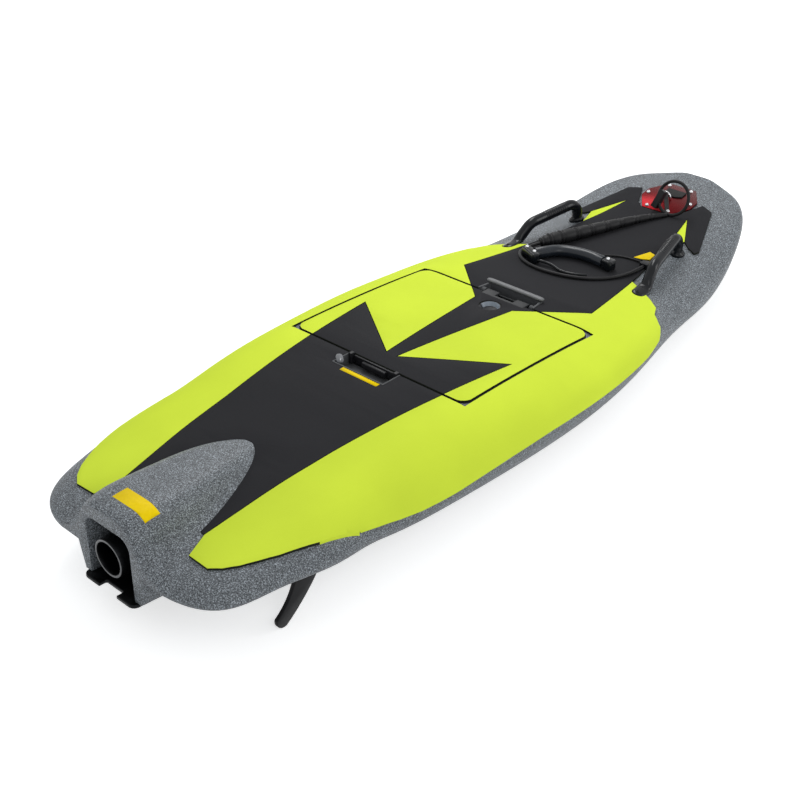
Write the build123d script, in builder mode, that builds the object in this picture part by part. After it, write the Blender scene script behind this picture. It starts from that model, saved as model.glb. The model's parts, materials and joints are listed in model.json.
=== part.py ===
from build123d import *
from math import asin, atan, atan2, cos, degrees, hypot, pi, radians, sin, tan
import os

# Electric jet surfboard, in millimetres. The board's own frame runs x to starboard, y from the tail
# face to the bow and z up from the keel plane. The whole board is parked as it comes to rest, on its
# two fin tips and the forward belly, so that frame is trimmed a few degrees nose down.

# Hull
length = 2092
half_beam = 361
depth = 203
middle_shift = -0.9
floor_lift = 0.9

# One row for each station. Columns: place along the length, half beam, height of the widest line,
# deck height, flat half width, rail radius, rail foot x and z, chine x and z, keel x and z.
# Widths are shares of the half beam, heights and the rail radius are shares of the depth.
STATION_SHARES = [
    (0.0000, 0.404, 0.424, 0.488, 0.166, 0.025, 0.388, 0.404, 0.277, 0.394, 0.238, 0.084),
    (0.0115, 0.637, 0.409, 0.517, 0.432, 0.044, 0.590, 0.389, 0.291, 0.394, 0.244, 0.074),
    (0.0296, 0.748, 0.404, 0.576, 0.526, 0.094, 0.687, 0.384, 0.305, 0.384, 0.249, 0.064),
    (0.0574, 0.809, 0.419, 0.640, 0.582, 0.153, 0.745, 0.389, 0.327, 0.374, 0.258, 0.049),
    (0.1004, 0.861, 0.438, 0.724, 0.609, 0.207, 0.789, 0.365, 0.368, 0.335, 0.266, 0.025),
    (0.1625, 0.903, 0.433, 0.833, 0.629, 0.256, 0.834, 0.286, 0.435, 0.256, 0.274, 0.005),
    (0.2390, 0.942, 0.424, 0.921, 0.640, 0.291, 0.886, 0.241, 0.499, 0.197, 0.291, 0.000),
    (0.3298, 0.992, 0.473, 0.985, 0.677, 0.325, 0.925, 0.222, 0.551, 0.153, 0.305, 0.000),
    (0.4254, 1.025, 0.532, 0.990, 0.687, 0.320, 0.934, 0.192, 0.554, 0.148, 0.305, 0.000),
    (0.5210, 1.030, 0.542, 0.961, 0.654, 0.296, 0.920, 0.202, 0.554, 0.148, 0.305, 0.010),
    (0.6119, 0.981, 0.552, 0.926, 0.499, 0.271, 0.867, 0.261, 0.526, 0.177, 0.296, 0.034),
    (0.6931, 0.892, 0.542, 0.911, 0.305, 0.241, 0.787, 0.345, 0.476, 0.236, 0.277, 0.084),
    (0.7696, 0.842, 0.562, 0.931, 0.211, 0.212, 0.709, 0.458, 0.438, 0.315, 0.255, 0.167),
    (0.8413, 0.787, 0.640, 0.985, 0.150, 0.197, 0.640, 0.601, 0.391, 0.429, 0.224, 0.296),
    (0.9034, 0.698, 0.837, 1.074, 0.139, 0.158, 0.582, 0.764, 0.338, 0.586, 0.188, 0.478),
    (0.9512, 0.587, 1.005, 1.172, 0.127, 0.118, 0.490, 0.911, 0.271, 0.764, 0.150, 0.680),
    (0.9837, 0.440, 1.094, 1.246, 0.105, 0.084, 0.357, 1.039, 0.194, 0.921, 0.105, 0.857),
    (1.0000, 0.249, 1.153, 1.286, 0.066, 0.044, 0.186, 1.128, 0.105, 1.069, 0.055, 1.025),
]
LANDING_ROW = 11

# Jet housing hump on the tail deck
# One row for each station: place along the length, foot half width, foot height, flat top half width,
# top height, as shares of the length, half beam and depth
HUMP_SHARES = [
    (-0.0024, 0.400, 0.470, 0.069, 0.916),
    (0.0612, 0.410, 0.635, 0.094, 0.985),
    (0.1033, 0.357, 0.714, 0.083, 0.975),
    (0.1372, 0.280, 0.778, 0.066, 0.950),
    (0.1620, 0.188, 0.823, 0.036, 0.905),
    (0.1760, 0.083, 0.847, 0.011, 0.870),
]
hump_root = 8
tail_flush = 0.4

# Fins
fin_x = 260
fin_thick = 10
fin_root_aft = 240
fin_root_fore = 330
fin_root_z = 80
fin_tip_y = 208
fin_reach = 58
fin_belly_y = 278
fin_belly_z = 30
fin_sweep = 12
fin_nose = 12

# Fits
slip = 0.3
seam = 3
overrun = 60

# Deck pads
pad_thick = 5
pad_split = 0.7
pad_floor = 80
fore_pad_floor = 150

# Pad outlines on the starboard side, as shares of the half beam and the length
BLACK_SEAM_SHARES = (0.553, 0.3556)
HUMP_CORNER_SHARES = (0.360, 0.0621)
EDGE_BOW_SHARES = (0.447, 0.2150)
SPIKE_SHARES = (0.623, 0.4527)
VEE_SHARES = (0.044, 0.3810)
NECK_SHARES = (0.158, 0.5559)
FORE_CORNER_SHARES = (0.554, 0.6176)
FORE_EDGE_SHARES = [
    (0.554, 0.6176),
    (0.463, 0.7261),
    (0.371, 0.8231),
    (0.421, 0.8556),
    (0.476, 0.8480),
    (0.548, 0.8432),
    (0.562, 0.8518),
    (0.377, 0.9321),
    (0.271, 0.9388),
    (0.177, 0.9034),
]
NOSE_LIME_SHARES = [(0.271, 0.9025), (0.421, 0.8556), (0.371, 0.8231), (0.319, 0.8614)]
SIDE_TAIL_SHARES = [
    (0.404, 0.0368),
    (0.557, 0.0359),
    (0.620, 0.0440),
    (0.676, 0.0564),
    (0.720, 0.0707),
    (0.770, 0.0894),
    (0.806, 0.1080),
    (0.842, 0.1272),
    (0.870, 0.1477),
    (0.895, 0.1697),
]
SIDE_FORE_SHARES = [(0.676, 0.7113), (0.752, 0.7035), (0.798, 0.6883), (0.867, 0.6797)]

# Low edge of the side pads on the flank, from aft to fore, as shares of the length and the depth
SIDE_LOW_SHARES = [
    (0.1697, 0.567),
    (0.1931, 0.522),
    (0.2184, 0.488),
    (0.2443, 0.468),
    (0.2949, 0.473),
    (0.3743, 0.532),
    (0.4336, 0.562),
    (0.5435, 0.571),
    (0.6315, 0.576),
    (0.6654, 0.631),
    (0.6797, 0.739),
]

# Hatch, bay and battery
hatch_aft = 741
hatch_fore = 1206
hatch_half = 260
hatch_round = 30
hatch_ledge = 171.7
bay_aft = 790
bay_fore = 1150
bay_half = 185
bay_floor = 45
bay_round = 25
battery_high = 95
battery_inset = 20
battery_round = 12

# Hinge at the hatch's fore edge
hinge_y = 1221
hinge_z = 187.5
pin_radius = 4
pin_half = 78
pin_slack = 0.08
lug_half = 18
lug_x = 46
lug_radius = 8
front_pocket_wide = 88
front_pocket_narrow = 81
front_pocket_fore = 1254
front_pocket_deep = 26
bezel_wall = 5
bezel_top = 197.5
bezel_rise = 0.5
hinge_room = 1210
pin_seat = 9

# Rear latch pocket
rear_pocket_half = 78
rear_pocket_aft = 683
rear_pocket_slope = 28
rear_pocket_floor = 176
tray_wall = 4
latch_half = 62
latch_thick = 5
latch_low = 183
latch_high = 204
bar_low_x = -30
bar_high_x = 40
bar_thick = 9
bar_round = 3
bar_low = 186
bar_high = 201
block_half = 5
block_gap = 1
block_long = 12
block_top = 210
tray_top = 206

# Round cap in the hatch
cap_y = 1150
cap_radius = 27
cap_deep = 20
cap_wall = 3
cap_top = 196
cap_dish_share = 0.7

# Jet tunnel, pump and drive line
tunnel_half = 68
jet_z = 86
tunnel_crown = 158
tunnel_corner = 28
tunnel_long = 330
duct_radius = 52
duct_slope = 30
pump_radius = 57
pump_bore = 51
pump_aft = 108
flange_thick = 10
impeller_radius = 49.8
impeller_aft = 228
impeller_long = 66
hub_radius = 19
hub_nose_radius = 10
blade_count = 4
blade_thick = 5
blade_twist = 70
vane_count = 6
vane_thick = 4
vane_root = 14
stator_nose = 12
blade_steps = 3
blade_rim = 3
nozzle_lip = 10
ride_top_fore = 8
stator_aft = 130
stator_long = 84
shaft_radius = 7
bearing_slack = 0.08
nozzle_radius = 41
nozzle_wall = 5
nozzle_aft = -3
motor_radius = 50
motor_aft = 546
motor_long = 160
motor_wall = 540
motor_room = 10

# Intake grate
grate_half = 66
grate_aft = 368
grate_fore = 596
grate_thick = 7
grate_rim = 14
grate_round = 24
bar_count = 6
grate_bar = 5

# Ride plate
ride_half = 80
ride_thick = 8
ride_aft = -14
ride_notch = 4
ride_notch_half = 27
ride_lobe_round = 16
ride_fore = 350
ride_aft_z = 17
ride_fore_z = 1

# Foot handles
handle_tube = 14.5
handle_front_x = 162
handle_front_y = 1736
handle_front_z = 245
handle_aft_x = 196
handle_aft_y = 1566
handle_aft_z = 223
handle_foot_x = 206
handle_foot_y = 1516
handle_front_bend = 32
handle_aft_bend = 50
boss_radius = 21
boss_high = 9
front_foot_z = 189
aft_foot_z = 175
foot_lean = 13
handle_sunk = 30
pad_foot_half = 17
pad_foot_long = 62
pad_foot_shift = 15
pad_foot_high = 11

# Nose plate
plate_y = 1948
plate_z = 230.2
plate_slope = 11.3
plate_half = 79
plate_half_long = 70
plate_end_half = 18
plate_corner_x = 44
plate_thick = 5
plate_sunk = 8

# Tether eye, strap and tab on the nose plate, measured from the plate's centre along its own plane
eye_x = -6
eye_y = -8
eye_half = 15
eye_high = 9
eye_rod = 3
strap_half = 6
strap_thick = 3
strap_aft_x = 40
strap_aft_y = -76
strap_fore_x = -12
strap_fore_y = 2
tab_thick = 3
tab_wide = 29
tab_aft = 10
tab_mid = 18
tab_fore = 44

# Tether ring, standing across the board and leaning forward, with its grip block
ring_x = 48
ring_y = 1885
ring_z = 268
ring_lean = 19
ring_radius = 46
ring_tube = 4.5
block_x = -41
block_down = 13
block_wide = 17
block_tall = 52
block_deep = 20
block_turn = 17
block_round = 5

# Tether sleeve: one row for each groove: place across, along and above the keel plane, and radius, as
# shares of the half beam, the length, the depth and the sleeve's own radius
sleeve_radius = 14
sleeve_neck = 0.8
groove = 3
SLEEVE_SHARES = [
    (-0.3399, 0.7235, 1.0070, 1.000),
    (-0.2981, 0.7347, 1.0120, 1.000),
    (-0.2715, 0.7500, 1.0170, 0.980),
    (-0.2244, 0.7715, 1.0220, 0.930),
    (-0.1759, 0.7925, 1.0290, 0.870),
    (-0.1274, 0.8141, 1.0400, 0.800),
    (-0.0720, 0.8346, 1.0530, 0.700),
    (-0.0194, 0.8552, 1.0700, 0.620),
    (0.0443, 0.8733, 1.0900, 0.540),
    (0.1310, 0.8932, 1.1060, 0.450),
]

# Throttle grip: yoke across its port end, curved tube, gland on its fore side and end fitting
grip_radius = 15.5
GRIP_SHARES = [
    (-0.258, 0.6875, 1.0175),
    (-0.161, 0.7218, 1.0185),
    (0.022, 0.7318, 1.0215),
    (0.205, 0.7294, 1.0215),
]
yoke_ends = (-126, 1452, -66, 1424)
yoke_low = 192.5
yoke_high = 219
yoke_wide = 22
yoke_round = 7
end_low = 194
end_high = 220
end_ends = (72, 1526, 104, 1523)
end_wide = 30
end_round = 9
lever_thick = 4
LEVER_SHARES = [
    (-0.205, 0.6815, 1.0000),
    (-0.090, 0.6885, 0.9750),
    (0.036, 0.6810, 0.9630),
    (0.135, 0.6865, 0.9630),
    (0.200, 0.6945, 0.9630),
]
gland_radius = 4.5
gland_long = 30

# Tether cable and tag cord: points as shares of the half beam, the length and the depth
cable_radius = 4.5
CABLE_SHARES = [
    (-0.3399, 0.7235, 1.0070),
    (-0.3900, 0.7100, 0.9750),
    (-0.3935, 0.6912, 0.9640),
    (-0.2770, 0.6740, 0.9640),
    (-0.1247, 0.6683, 0.9640),
    (0.0277, 0.6711, 0.9650),
    (0.1717, 0.6797, 0.9640),
    (0.2992, 0.6960, 0.9610),
    (0.3767, 0.7180, 0.9580),
    (0.4100, 0.7424, 0.9590),
    (0.4100, 0.7630, 0.9590),
]
cord_radius = 2.5
CORD_SHARES = [
    (0.3740, 0.7706, 0.9695),
    (0.3000, 0.7706, 0.9695),
    (0.2050, 0.7672, 0.9715),
    (0.1200, 0.7580, 0.9700),
    (0.0499, 0.7462, 0.9754),
]
bend_share = 0.45
clip_long = 26
clip_wide = 31
clip_low = 189
clip_high = 202
clip_round = 4
tag_thick = 1.5
TAG_SHARES = [(0.300, 0.7700), (0.338, 0.7970), (0.392, 0.7935), (0.408, 0.7770), (0.360, 0.7725)]

trim = asin(
    (fin_reach + STATION_SHARES[LANDING_ROW][11] * depth)
    / hypot(
        STATION_SHARES[LANDING_ROW][0] * length - fin_tip_y,
        fin_reach + STATION_SHARES[LANDING_ROW][11] * depth,
    )
)
lift = fin_reach * cos(trim) + fin_tip_y * sin(trim) + floor_lift
middle = length / 2 + middle_shift
board = Plane(origin=(0, -middle, lift), x_dir=(1, 0, 0), z_dir=(0, sin(trim), cos(trim)))


def level(height):
    """A plane parallel to the deck, at a height above the keel plane."""
    return board.offset(height)


def across(y):
    """A plane across the board at a station: its x is starboard and its y is up."""
    return Plane(origin=board.from_local_coords((0, y, 0)), x_dir=board.x_dir, z_dir=-board.y_dir)


def along(x):
    """A plane along the board at a distance from its middle: its x runs to the bow, its y is up."""
    return Plane(origin=board.from_local_coords((x, 0, 0)), x_dir=board.y_dir, z_dir=board.x_dir)


def spot(x_share, y_share):
    """A place on the deck from its shares of the half beam and the length."""
    return (x_share * half_beam, y_share * length)


def shoulder_join(beam, rail, deck, flat, roll):
    """Where the wide shoulder arc meets the tighter rail arc, tangent to each other."""
    run = beam - roll - flat
    drop = deck - rail
    shoulder = (run**2 + drop**2 - roll**2) / (2 * (drop - roll))
    lean = atan2(run, shoulder - drop)
    return (flat + shoulder * sin(lean), deck - shoulder * (1 - cos(lean)))


def hull_section(shares, grow):
    """One closed outline of the hull: flat deck, shoulder and rail arcs, chines and keel."""
    beam, foot_x, chine_x, keel_x, flat = [shares[i] * half_beam for i in (1, 6, 8, 10, 4)]
    rail, deck, roll, foot_z, chine_z, keel_z = [shares[i] * depth for i in (2, 3, 5, 7, 9, 11)]
    beam, deck, roll = beam + grow, deck + grow, roll + grow
    join_x, join_z = shoulder_join(beam, rail, deck, flat, roll)
    with BuildSketch(across(shares[0] * length)) as outline:
        with BuildLine():
            Line((-flat, deck), (flat, deck))
            TangentArc((flat, deck), (join_x, join_z), tangent=(1, 0))
            TangentArc((beam, rail), (join_x, join_z), tangent=(0, 1))
            TangentArc((beam, rail), (foot_x, foot_z), tangent=(0, -1))
            Polyline((foot_x, foot_z), (chine_x, chine_z), (keel_x, keel_z))
            Line((keel_x, keel_z), (-keel_x, keel_z))
            Polyline((-keel_x, keel_z), (-chine_x, chine_z), (-foot_x, foot_z))
            TangentArc((-beam, rail), (-foot_x, foot_z), tangent=(0, -1))
            TangentArc((-beam, rail), (-join_x, join_z), tangent=(0, 1))
            TangentArc((-flat, deck), (-join_x, join_z), tangent=(-1, 0))
        make_face()
    return outline.sketch


def hull_form(grow=0):
    """The plain hull through its stations, with its deck and rails grown outwards."""
    with BuildPart() as form:
        for shares in STATION_SHARES:
            add(hull_section(shares, grow))
        loft()
    return form.part


def hump_form(grow=0):
    """The hump over the jet, each section an S on either side of a flat top."""
    with BuildPart() as form:
        for y_share, foot_share, foot_z_share, top_share, top_z_share in HUMP_SHARES:
            foot, top = foot_share * half_beam + grow, top_share * half_beam + grow
            foot_z, top_z = foot_z_share * depth, top_z_share * depth + grow
            mid = ((foot + top) / 2, (foot_z + top_z) / 2)
            with BuildSketch(across(y_share * length)):
                with BuildLine():
                    Line((-top, top_z), (top, top_z))
                    TangentArc((top, top_z), mid, tangent=(1, 0))
                    TangentArc((foot, foot_z), mid, tangent=(-1, 0))
                    Polyline(
                        (foot, foot_z),
                        (foot, foot_z - hump_root),
                        (-foot, foot_z - hump_root),
                        (-foot, foot_z),
                    )
                    TangentArc((-foot, foot_z), (-mid[0], mid[1]), tangent=(1, 0))
                    TangentArc((-top, top_z), (-mid[0], mid[1]), tangent=(-1, 0))
                make_face()
        loft()
    return form.part


def keep(piece, name):
    """Label a finished piece and write it."""
    piece.label = name
    export_step(piece, f"parts/{name}.step")


os.makedirs("parts", exist_ok=True)
bare_hull = hull_form()
seat = hull_form(slip)
skin = hull_form(slip + pad_thick)
hump = hump_form()
hump_clear = hump_form(slip)
fin_seat = bare_hull.moved(Location((0, 0, -slip)))

front_pocket_bottom = hinge_z + lug_radius - front_pocket_deep
rear_slope_top = rear_pocket_floor + rear_pocket_slope


def hatch_block(inset, bottom):
    """The hatch's rounded plan, drawn in from its recess, from a height up past the deck."""
    with BuildPart() as block:
        with BuildSketch(level(bottom)):
            with Locations((0, (hatch_aft + hatch_fore) / 2)):
                RectangleRounded(
                    2 * (hatch_half - inset),
                    hatch_fore - hatch_aft - 2 * inset,
                    hatch_round - inset,
                )
        extrude(amount=2 * overrun)
    return block.part


def front_pocket(inset, bottom):
    """The tapered pocket forward of the hatch, from a depth up past the deck."""
    with BuildPart() as pocket:
        with BuildSketch(level(bottom)):
            with BuildLine():
                Polyline(
                    (-front_pocket_wide + inset, hatch_fore - slip),
                    (front_pocket_wide - inset, hatch_fore - slip),
                    (front_pocket_narrow - inset, front_pocket_fore - inset),
                    (-front_pocket_narrow + inset, front_pocket_fore - inset),
                    close=True,
                )
            make_face()
        extrude(amount=overrun)
    return pocket.part


def rear_pocket(inset, half):
    """The latch pocket aft of the hatch, with a sloping aft wall."""
    floor = rear_pocket_floor + inset
    with BuildPart() as pocket:
        with BuildSketch(along(0)):
            with BuildLine():
                Polyline(
                    (rear_pocket_aft + inset, rear_slope_top + overrun),
                    (rear_pocket_aft + inset, rear_slope_top),
                    (rear_pocket_aft + rear_pocket_slope + inset, floor),
                    (hatch_aft + slip, floor),
                    (hatch_aft + slip, rear_slope_top + overrun),
                    close=True,
                )
            make_face()
        extrude(amount=half, both=True)
    return pocket.part


def tunnel_block(aft, fore, inset, low):
    """The jet tunnel between two stations: a flat crown with rounded corners, down to a height."""
    half, crown = tunnel_half - inset, tunnel_crown - inset
    spring, flat = tunnel_crown - tunnel_corner, tunnel_half - tunnel_corner
    with BuildPart() as block:
        with BuildSketch(across(aft)):
            with BuildLine():
                Polyline((-half, spring), (-half, low), (half, low), (half, spring))
                TangentArc((half, spring), (flat, crown), tangent=(0, 1))
                Line((flat, crown), (-flat, crown))
                TangentArc((-half, spring), (-flat, crown), tangent=(0, 1))
            make_face()
        extrude(amount=aft - fore)
    return block.part


ride_slope = atan((ride_aft_z - ride_fore_z) / ride_fore)


def ride_plane():
    """The sloping plane on the ride plate's top face."""
    top = board.from_local_coords((0, 0, ride_aft_z))
    normal = board.z_dir * cos(ride_slope) + board.y_dir * sin(ride_slope)
    return Plane(origin=top, x_dir=board.x_dir, z_dir=normal)


def ride_block(grow, tall):
    """The ride plate's outline without its notch, from its top face down."""
    with BuildPart() as block:
        with BuildSketch(ride_plane().offset(grow)):
            with Locations((0, (ride_aft + ride_fore) / 2)):
                Rectangle(2 * (ride_half + grow), ride_fore - ride_aft + 2 * grow)
        extrude(amount=-tall)
    return block.part


duct_mouth = board.from_local_coords((0, tunnel_long, jet_z))
duct_dir = board.y_dir * cos(radians(duct_slope)) - board.z_dir * sin(radians(duct_slope))
duct_plane = Plane(origin=duct_mouth, x_dir=board.x_dir, z_dir=duct_dir)

# Hull: the loft and its hump, with the hatch recess, bay, pockets, tunnel and intake cut out
with BuildPart() as hull:
    add(bare_hull)
    add(hump)
    with BuildSketch(across(tail_flush)):
        Rectangle(length, length)
    extrude(amount=length, mode=Mode.SUBTRACT)
    add(hatch_block(0, hatch_ledge), mode=Mode.SUBTRACT)
    with BuildSketch(level(bay_floor)):
        with Locations((0, (bay_aft + bay_fore) / 2)):
            RectangleRounded(2 * bay_half, bay_fore - bay_aft, bay_round)
    extrude(amount=depth, mode=Mode.SUBTRACT)
    with BuildSketch(level(jet_z - motor_radius - motor_room)):
        with Locations((0, (motor_wall + bay_aft + bay_round) / 2)):
            Rectangle(2 * (motor_radius + motor_room), bay_aft + bay_round - motor_wall)
    extrude(amount=2 * (motor_radius + motor_room), mode=Mode.SUBTRACT)
    add(front_pocket(0, front_pocket_bottom), mode=Mode.SUBTRACT)
    add(rear_pocket(0, rear_pocket_half), mode=Mode.SUBTRACT)
    add(tunnel_block(-overrun, tunnel_long, 0, -overrun), mode=Mode.SUBTRACT)
    with BuildSketch(duct_plane):
        Circle(duct_radius)
    extrude(amount=tunnel_long, mode=Mode.SUBTRACT)
    with BuildSketch(across(tunnel_long)):
        with Locations((0, jet_z)):
            Circle(duct_radius)
    extrude(amount=-duct_radius * tan(radians(duct_slope)), mode=Mode.SUBTRACT)
    with BuildSketch(across(tunnel_long)):
        with Locations((0, jet_z)):
            Circle(shaft_radius + bearing_slack)
    extrude(amount=-(motor_aft - tunnel_long), mode=Mode.SUBTRACT)
    with BuildSketch(level(-overrun)):
        with Locations((0, (grate_aft + grate_fore) / 2)):
            RectangleRounded(
                2 * (grate_half + slip), grate_fore - grate_aft + 2 * slip, grate_round
            )
    extrude(amount=overrun + grate_thick + slip, mode=Mode.SUBTRACT)
    add(ride_block(slip, overrun), mode=Mode.SUBTRACT)
keep(hull.part, "hull")

lug_root = hatch_fore - seam - lug_radius

# Hatch lid: the deck's own top over the recess, with its hinge lugs and the round cap's seat
with BuildPart() as hatch_lid:
    add(hatch_block(seam, hatch_ledge + slip))
    add(bare_hull, mode=Mode.INTERSECT)
    with BuildSketch(along(0)):
        with BuildLine():
            lug_low, lug_high = hinge_z - lug_radius, hinge_z + lug_radius
            Line((lug_root, lug_low), (hinge_y, lug_low))
            ThreePointArc((hinge_y, lug_low), (hinge_y + lug_radius, hinge_z), (hinge_y, lug_high))
            Polyline((hinge_y, lug_high), (lug_root, lug_high), (lug_root, lug_low))
        make_face()
    extrude(amount=lug_x + lug_half, both=True)
    with BuildSketch(along(0)):
        with Locations((hinge_y, hinge_z)):
            Rectangle(2 * (hinge_y - hatch_fore + seam), overrun)
    extrude(amount=lug_x - lug_half, both=True, mode=Mode.SUBTRACT)
    with BuildSketch(along(0)):
        with Locations((hinge_y, hinge_z)):
            Circle(pin_radius + pin_slack)
    extrude(amount=half_beam, both=True, mode=Mode.SUBTRACT)
    add(rear_pocket(0, rear_pocket_half), mode=Mode.SUBTRACT)
    with BuildSketch(level(depth - cap_deep)):
        with Locations((0, cap_y)):
            Circle(cap_radius)
    extrude(amount=overrun, mode=Mode.SUBTRACT)
keep(hatch_lid.part, "hatch_lid")

lid_half = hatch_half - seam
lid_aft = hatch_aft + seam
lid_fore = hatch_fore - seam
recess_half = hatch_half + seam
recess_aft = hatch_aft - seam
recess_fore = hatch_fore + seam
outboard = half_beam + overrun
black_seam = spot(*BLACK_SEAM_SHARES)
hump_corner = spot(*HUMP_CORNER_SHARES)
edge_bow = spot(*EDGE_BOW_SHARES)
spike = spot(*SPIKE_SHARES)
vee = spot(*VEE_SHARES)
neck = spot(*NECK_SHARES)
fore_corner = spot(*FORE_CORNER_SHARES)
neck_lean = (fore_corner[0] - neck[0]) / (fore_corner[1] - neck[1])


def neck_line(y):
    """Where the black and lime pads part beside the hinge pocket."""
    return (neck[0] + (y - neck[1]) * neck_lean, y)


def deck_prism(points, floor):
    """A tall prism over a plan outline on the starboard side, drawn in by the pads' parting gap."""
    with BuildPart() as block:
        with BuildSketch(level(floor)):
            with BuildLine():
                Polyline(*points, close=True)
            make_face()
            offset(amount=-pad_split, kind=Kind.INTERSECTION)
        extrude(amount=depth)
    return block.part


def pad_over(points, floor=pad_floor):
    """A pad of the skin's thickness over a plan outline."""
    with BuildPart(mode=Mode.PRIVATE) as pad:
        add(deck_prism(points, floor))
        add(skin, mode=Mode.INTERSECT)
        add(seat, mode=Mode.SUBTRACT)
    return pad.part


def leaning(side, x, y, z, lean):
    """A plane over the shoulder, tipped outboard from a point on it."""
    normal = board.z_dir * cos(radians(lean)) + board.x_dir * side * sin(radians(lean))
    return Plane(origin=board.from_local_coords((side * x, y, z)), x_dir=board.y_dir, z_dir=normal)


def front_foot(side):
    """The round boss under a foot handle's front end."""
    with BuildPart() as foot:
        with BuildSketch(leaning(side, handle_front_x, handle_front_y, front_foot_z, foot_lean)):
            Circle(boss_radius)
        extrude(amount=boss_high, both=True)
    return foot.part


def aft_foot(side, grow):
    """The flat foot under a foot handle's aft end, with its outline grown."""
    with BuildPart() as foot:
        with BuildSketch(leaning(side, handle_foot_x, handle_foot_y, aft_foot_z, foot_lean)):
            with Locations((-pad_foot_shift, 0)):
                SlotOverall(pad_foot_long + 2 * grow, 2 * (pad_foot_half + grow))
        extrude(amount=pad_foot_high + grow, both=True)
    return foot.part


def plate_face(height):
    """The nose plate's sloping plane, at a height above its seat."""
    base = board.from_local_coords((0, plate_y, plate_z))
    up = board.z_dir * cos(radians(plate_slope)) - board.y_dir * sin(radians(plate_slope))
    return Plane(origin=base, x_dir=board.x_dir, z_dir=up).offset(height)


def plate_block(grow, low, high):
    """The nose plate's octagon over its own sloping plane, with its outline grown."""
    with BuildPart() as block:
        with BuildSketch(plate_face(low)):
            with BuildLine():
                Polyline(
                    (-plate_corner_x, -plate_half_long),
                    (plate_corner_x, -plate_half_long),
                    (plate_half, -plate_end_half),
                    (plate_half, plate_end_half),
                    (plate_corner_x, plate_half_long),
                    (-plate_corner_x, plate_half_long),
                    (-plate_half, plate_end_half),
                    (-plate_half, -plate_end_half),
                    close=True,
                )
            make_face()
            offset(amount=grow, kind=Kind.INTERSECTION)
        extrude(amount=high - low)
    return block.part


# Hatch pads: the black blaze and the lime on either side of it
with BuildPart() as hatch_pad_black:
    blaze = [(black_seam[0], lid_aft), spike, vee, neck, neck_line(lid_fore)]
    add(pad_over([(-pad_split, lid_aft), *blaze, (-pad_split, lid_fore)]))
    add(hatch_block(seam + slip, hatch_ledge), mode=Mode.INTERSECT)
    mirror(about=Plane.YZ)
    with BuildSketch(level(hatch_ledge)):
        with Locations((0, hinge_y)):
            Rectangle(2 * (lug_x + lug_half + slip), 2 * (hinge_y - lug_root + slip))
        with Locations((0, cap_y)):
            Circle(cap_radius + slip)
    extrude(amount=overrun, mode=Mode.SUBTRACT)
keep(hatch_pad_black.part, "hatch_pad_black")
with BuildPart() as hatch_pad_lime:
    add(pad_over([(lid_half, lid_fore), (lid_half, lid_aft), *blaze]))
    add(hatch_block(seam + slip, hatch_ledge), mode=Mode.INTERSECT)
    mirror(about=Plane.YZ)
keep(hatch_pad_lime.part, "hatch_pad_lime")

# Fore deck pad: black, forked round the nose plate
fore_edge = [spot(*shares) for shares in FORE_EDGE_SHARES]
nose_lime = [spot(*shares) for shares in NOSE_LIME_SHARES]
with BuildPart() as deck_pad_fore:
    fore_outline = [(-pad_split, recess_fore), neck_line(recess_fore), *fore_edge]
    add(pad_over([*fore_outline, (-pad_split, fore_edge[-1][1])], fore_pad_floor))
    mirror(about=Plane.YZ)
    add(front_pocket(-slip, front_pocket_bottom), mode=Mode.SUBTRACT)
    for side in (1, -1):
        with BuildSketch(level(fore_pad_floor)):
            with BuildLine():
                Polyline(*[(side * x, y) for x, y in nose_lime], close=True)
            make_face()
        extrude(amount=depth, mode=Mode.SUBTRACT)
    add(plate_block(seam, -overrun, overrun), mode=Mode.SUBTRACT)
keep(deck_pad_fore.part, "deck_pad_fore")
with BuildPart() as deck_pad_nose_lime:
    add(pad_over(nose_lime, fore_pad_floor))
    mirror(about=Plane.YZ)
keep(deck_pad_nose_lime.part, "deck_pad_nose_lime")

# Aft deck pad: black, from the hatch to the hump
with BuildPart() as deck_pad_aft:
    aft_outline = [(-pad_split, hump_corner[1]), hump_corner, edge_bow, (black_seam[0], recess_aft)]
    add(pad_over([(-pad_split, recess_aft), *aft_outline]))
    mirror(about=Plane.YZ)
    add(hump_clear, mode=Mode.SUBTRACT)
    add(rear_pocket(-slip, rear_pocket_half + slip), mode=Mode.SUBTRACT)
keep(deck_pad_aft.part, "deck_pad_aft")

# Side pads: lime, from the tail to the fore deck, wrapped over the shoulders down to the flank
side_tail = [spot(*shares) for shares in SIDE_TAIL_SHARES]
side_fore = [spot(*shares) for shares in SIDE_FORE_SHARES]
side_low = [(y_share * length, z_share * depth) for y_share, z_share in SIDE_LOW_SHARES]
with BuildPart() as deck_pad_side:
    add(
        pad_over(
            [
                edge_bow,
                hump_corner,
                *side_tail,
                (outboard, side_tail[-1][1]),
                (outboard, side_fore[-1][1]),
                *reversed(side_fore),
                fore_edge[1],
                fore_corner,
                neck_line(recess_fore),
                (recess_half, recess_fore),
                (recess_half, recess_aft),
                (black_seam[0], recess_aft),
            ]
        )
    )
    with BuildSketch(along(0)):
        with BuildLine():
            Polyline((side_low[0][0], 0), *side_low, (side_low[-1][0], 0), close=True)
        make_face()
    extrude(amount=outboard, both=True, mode=Mode.SUBTRACT)
    mirror(about=Plane.YZ)
    add(hump_clear, mode=Mode.SUBTRACT)
    for side in (1, -1):
        add(aft_foot(side, slip), mode=Mode.SUBTRACT)
keep(deck_pad_side.part, "deck_pad_side")

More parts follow.
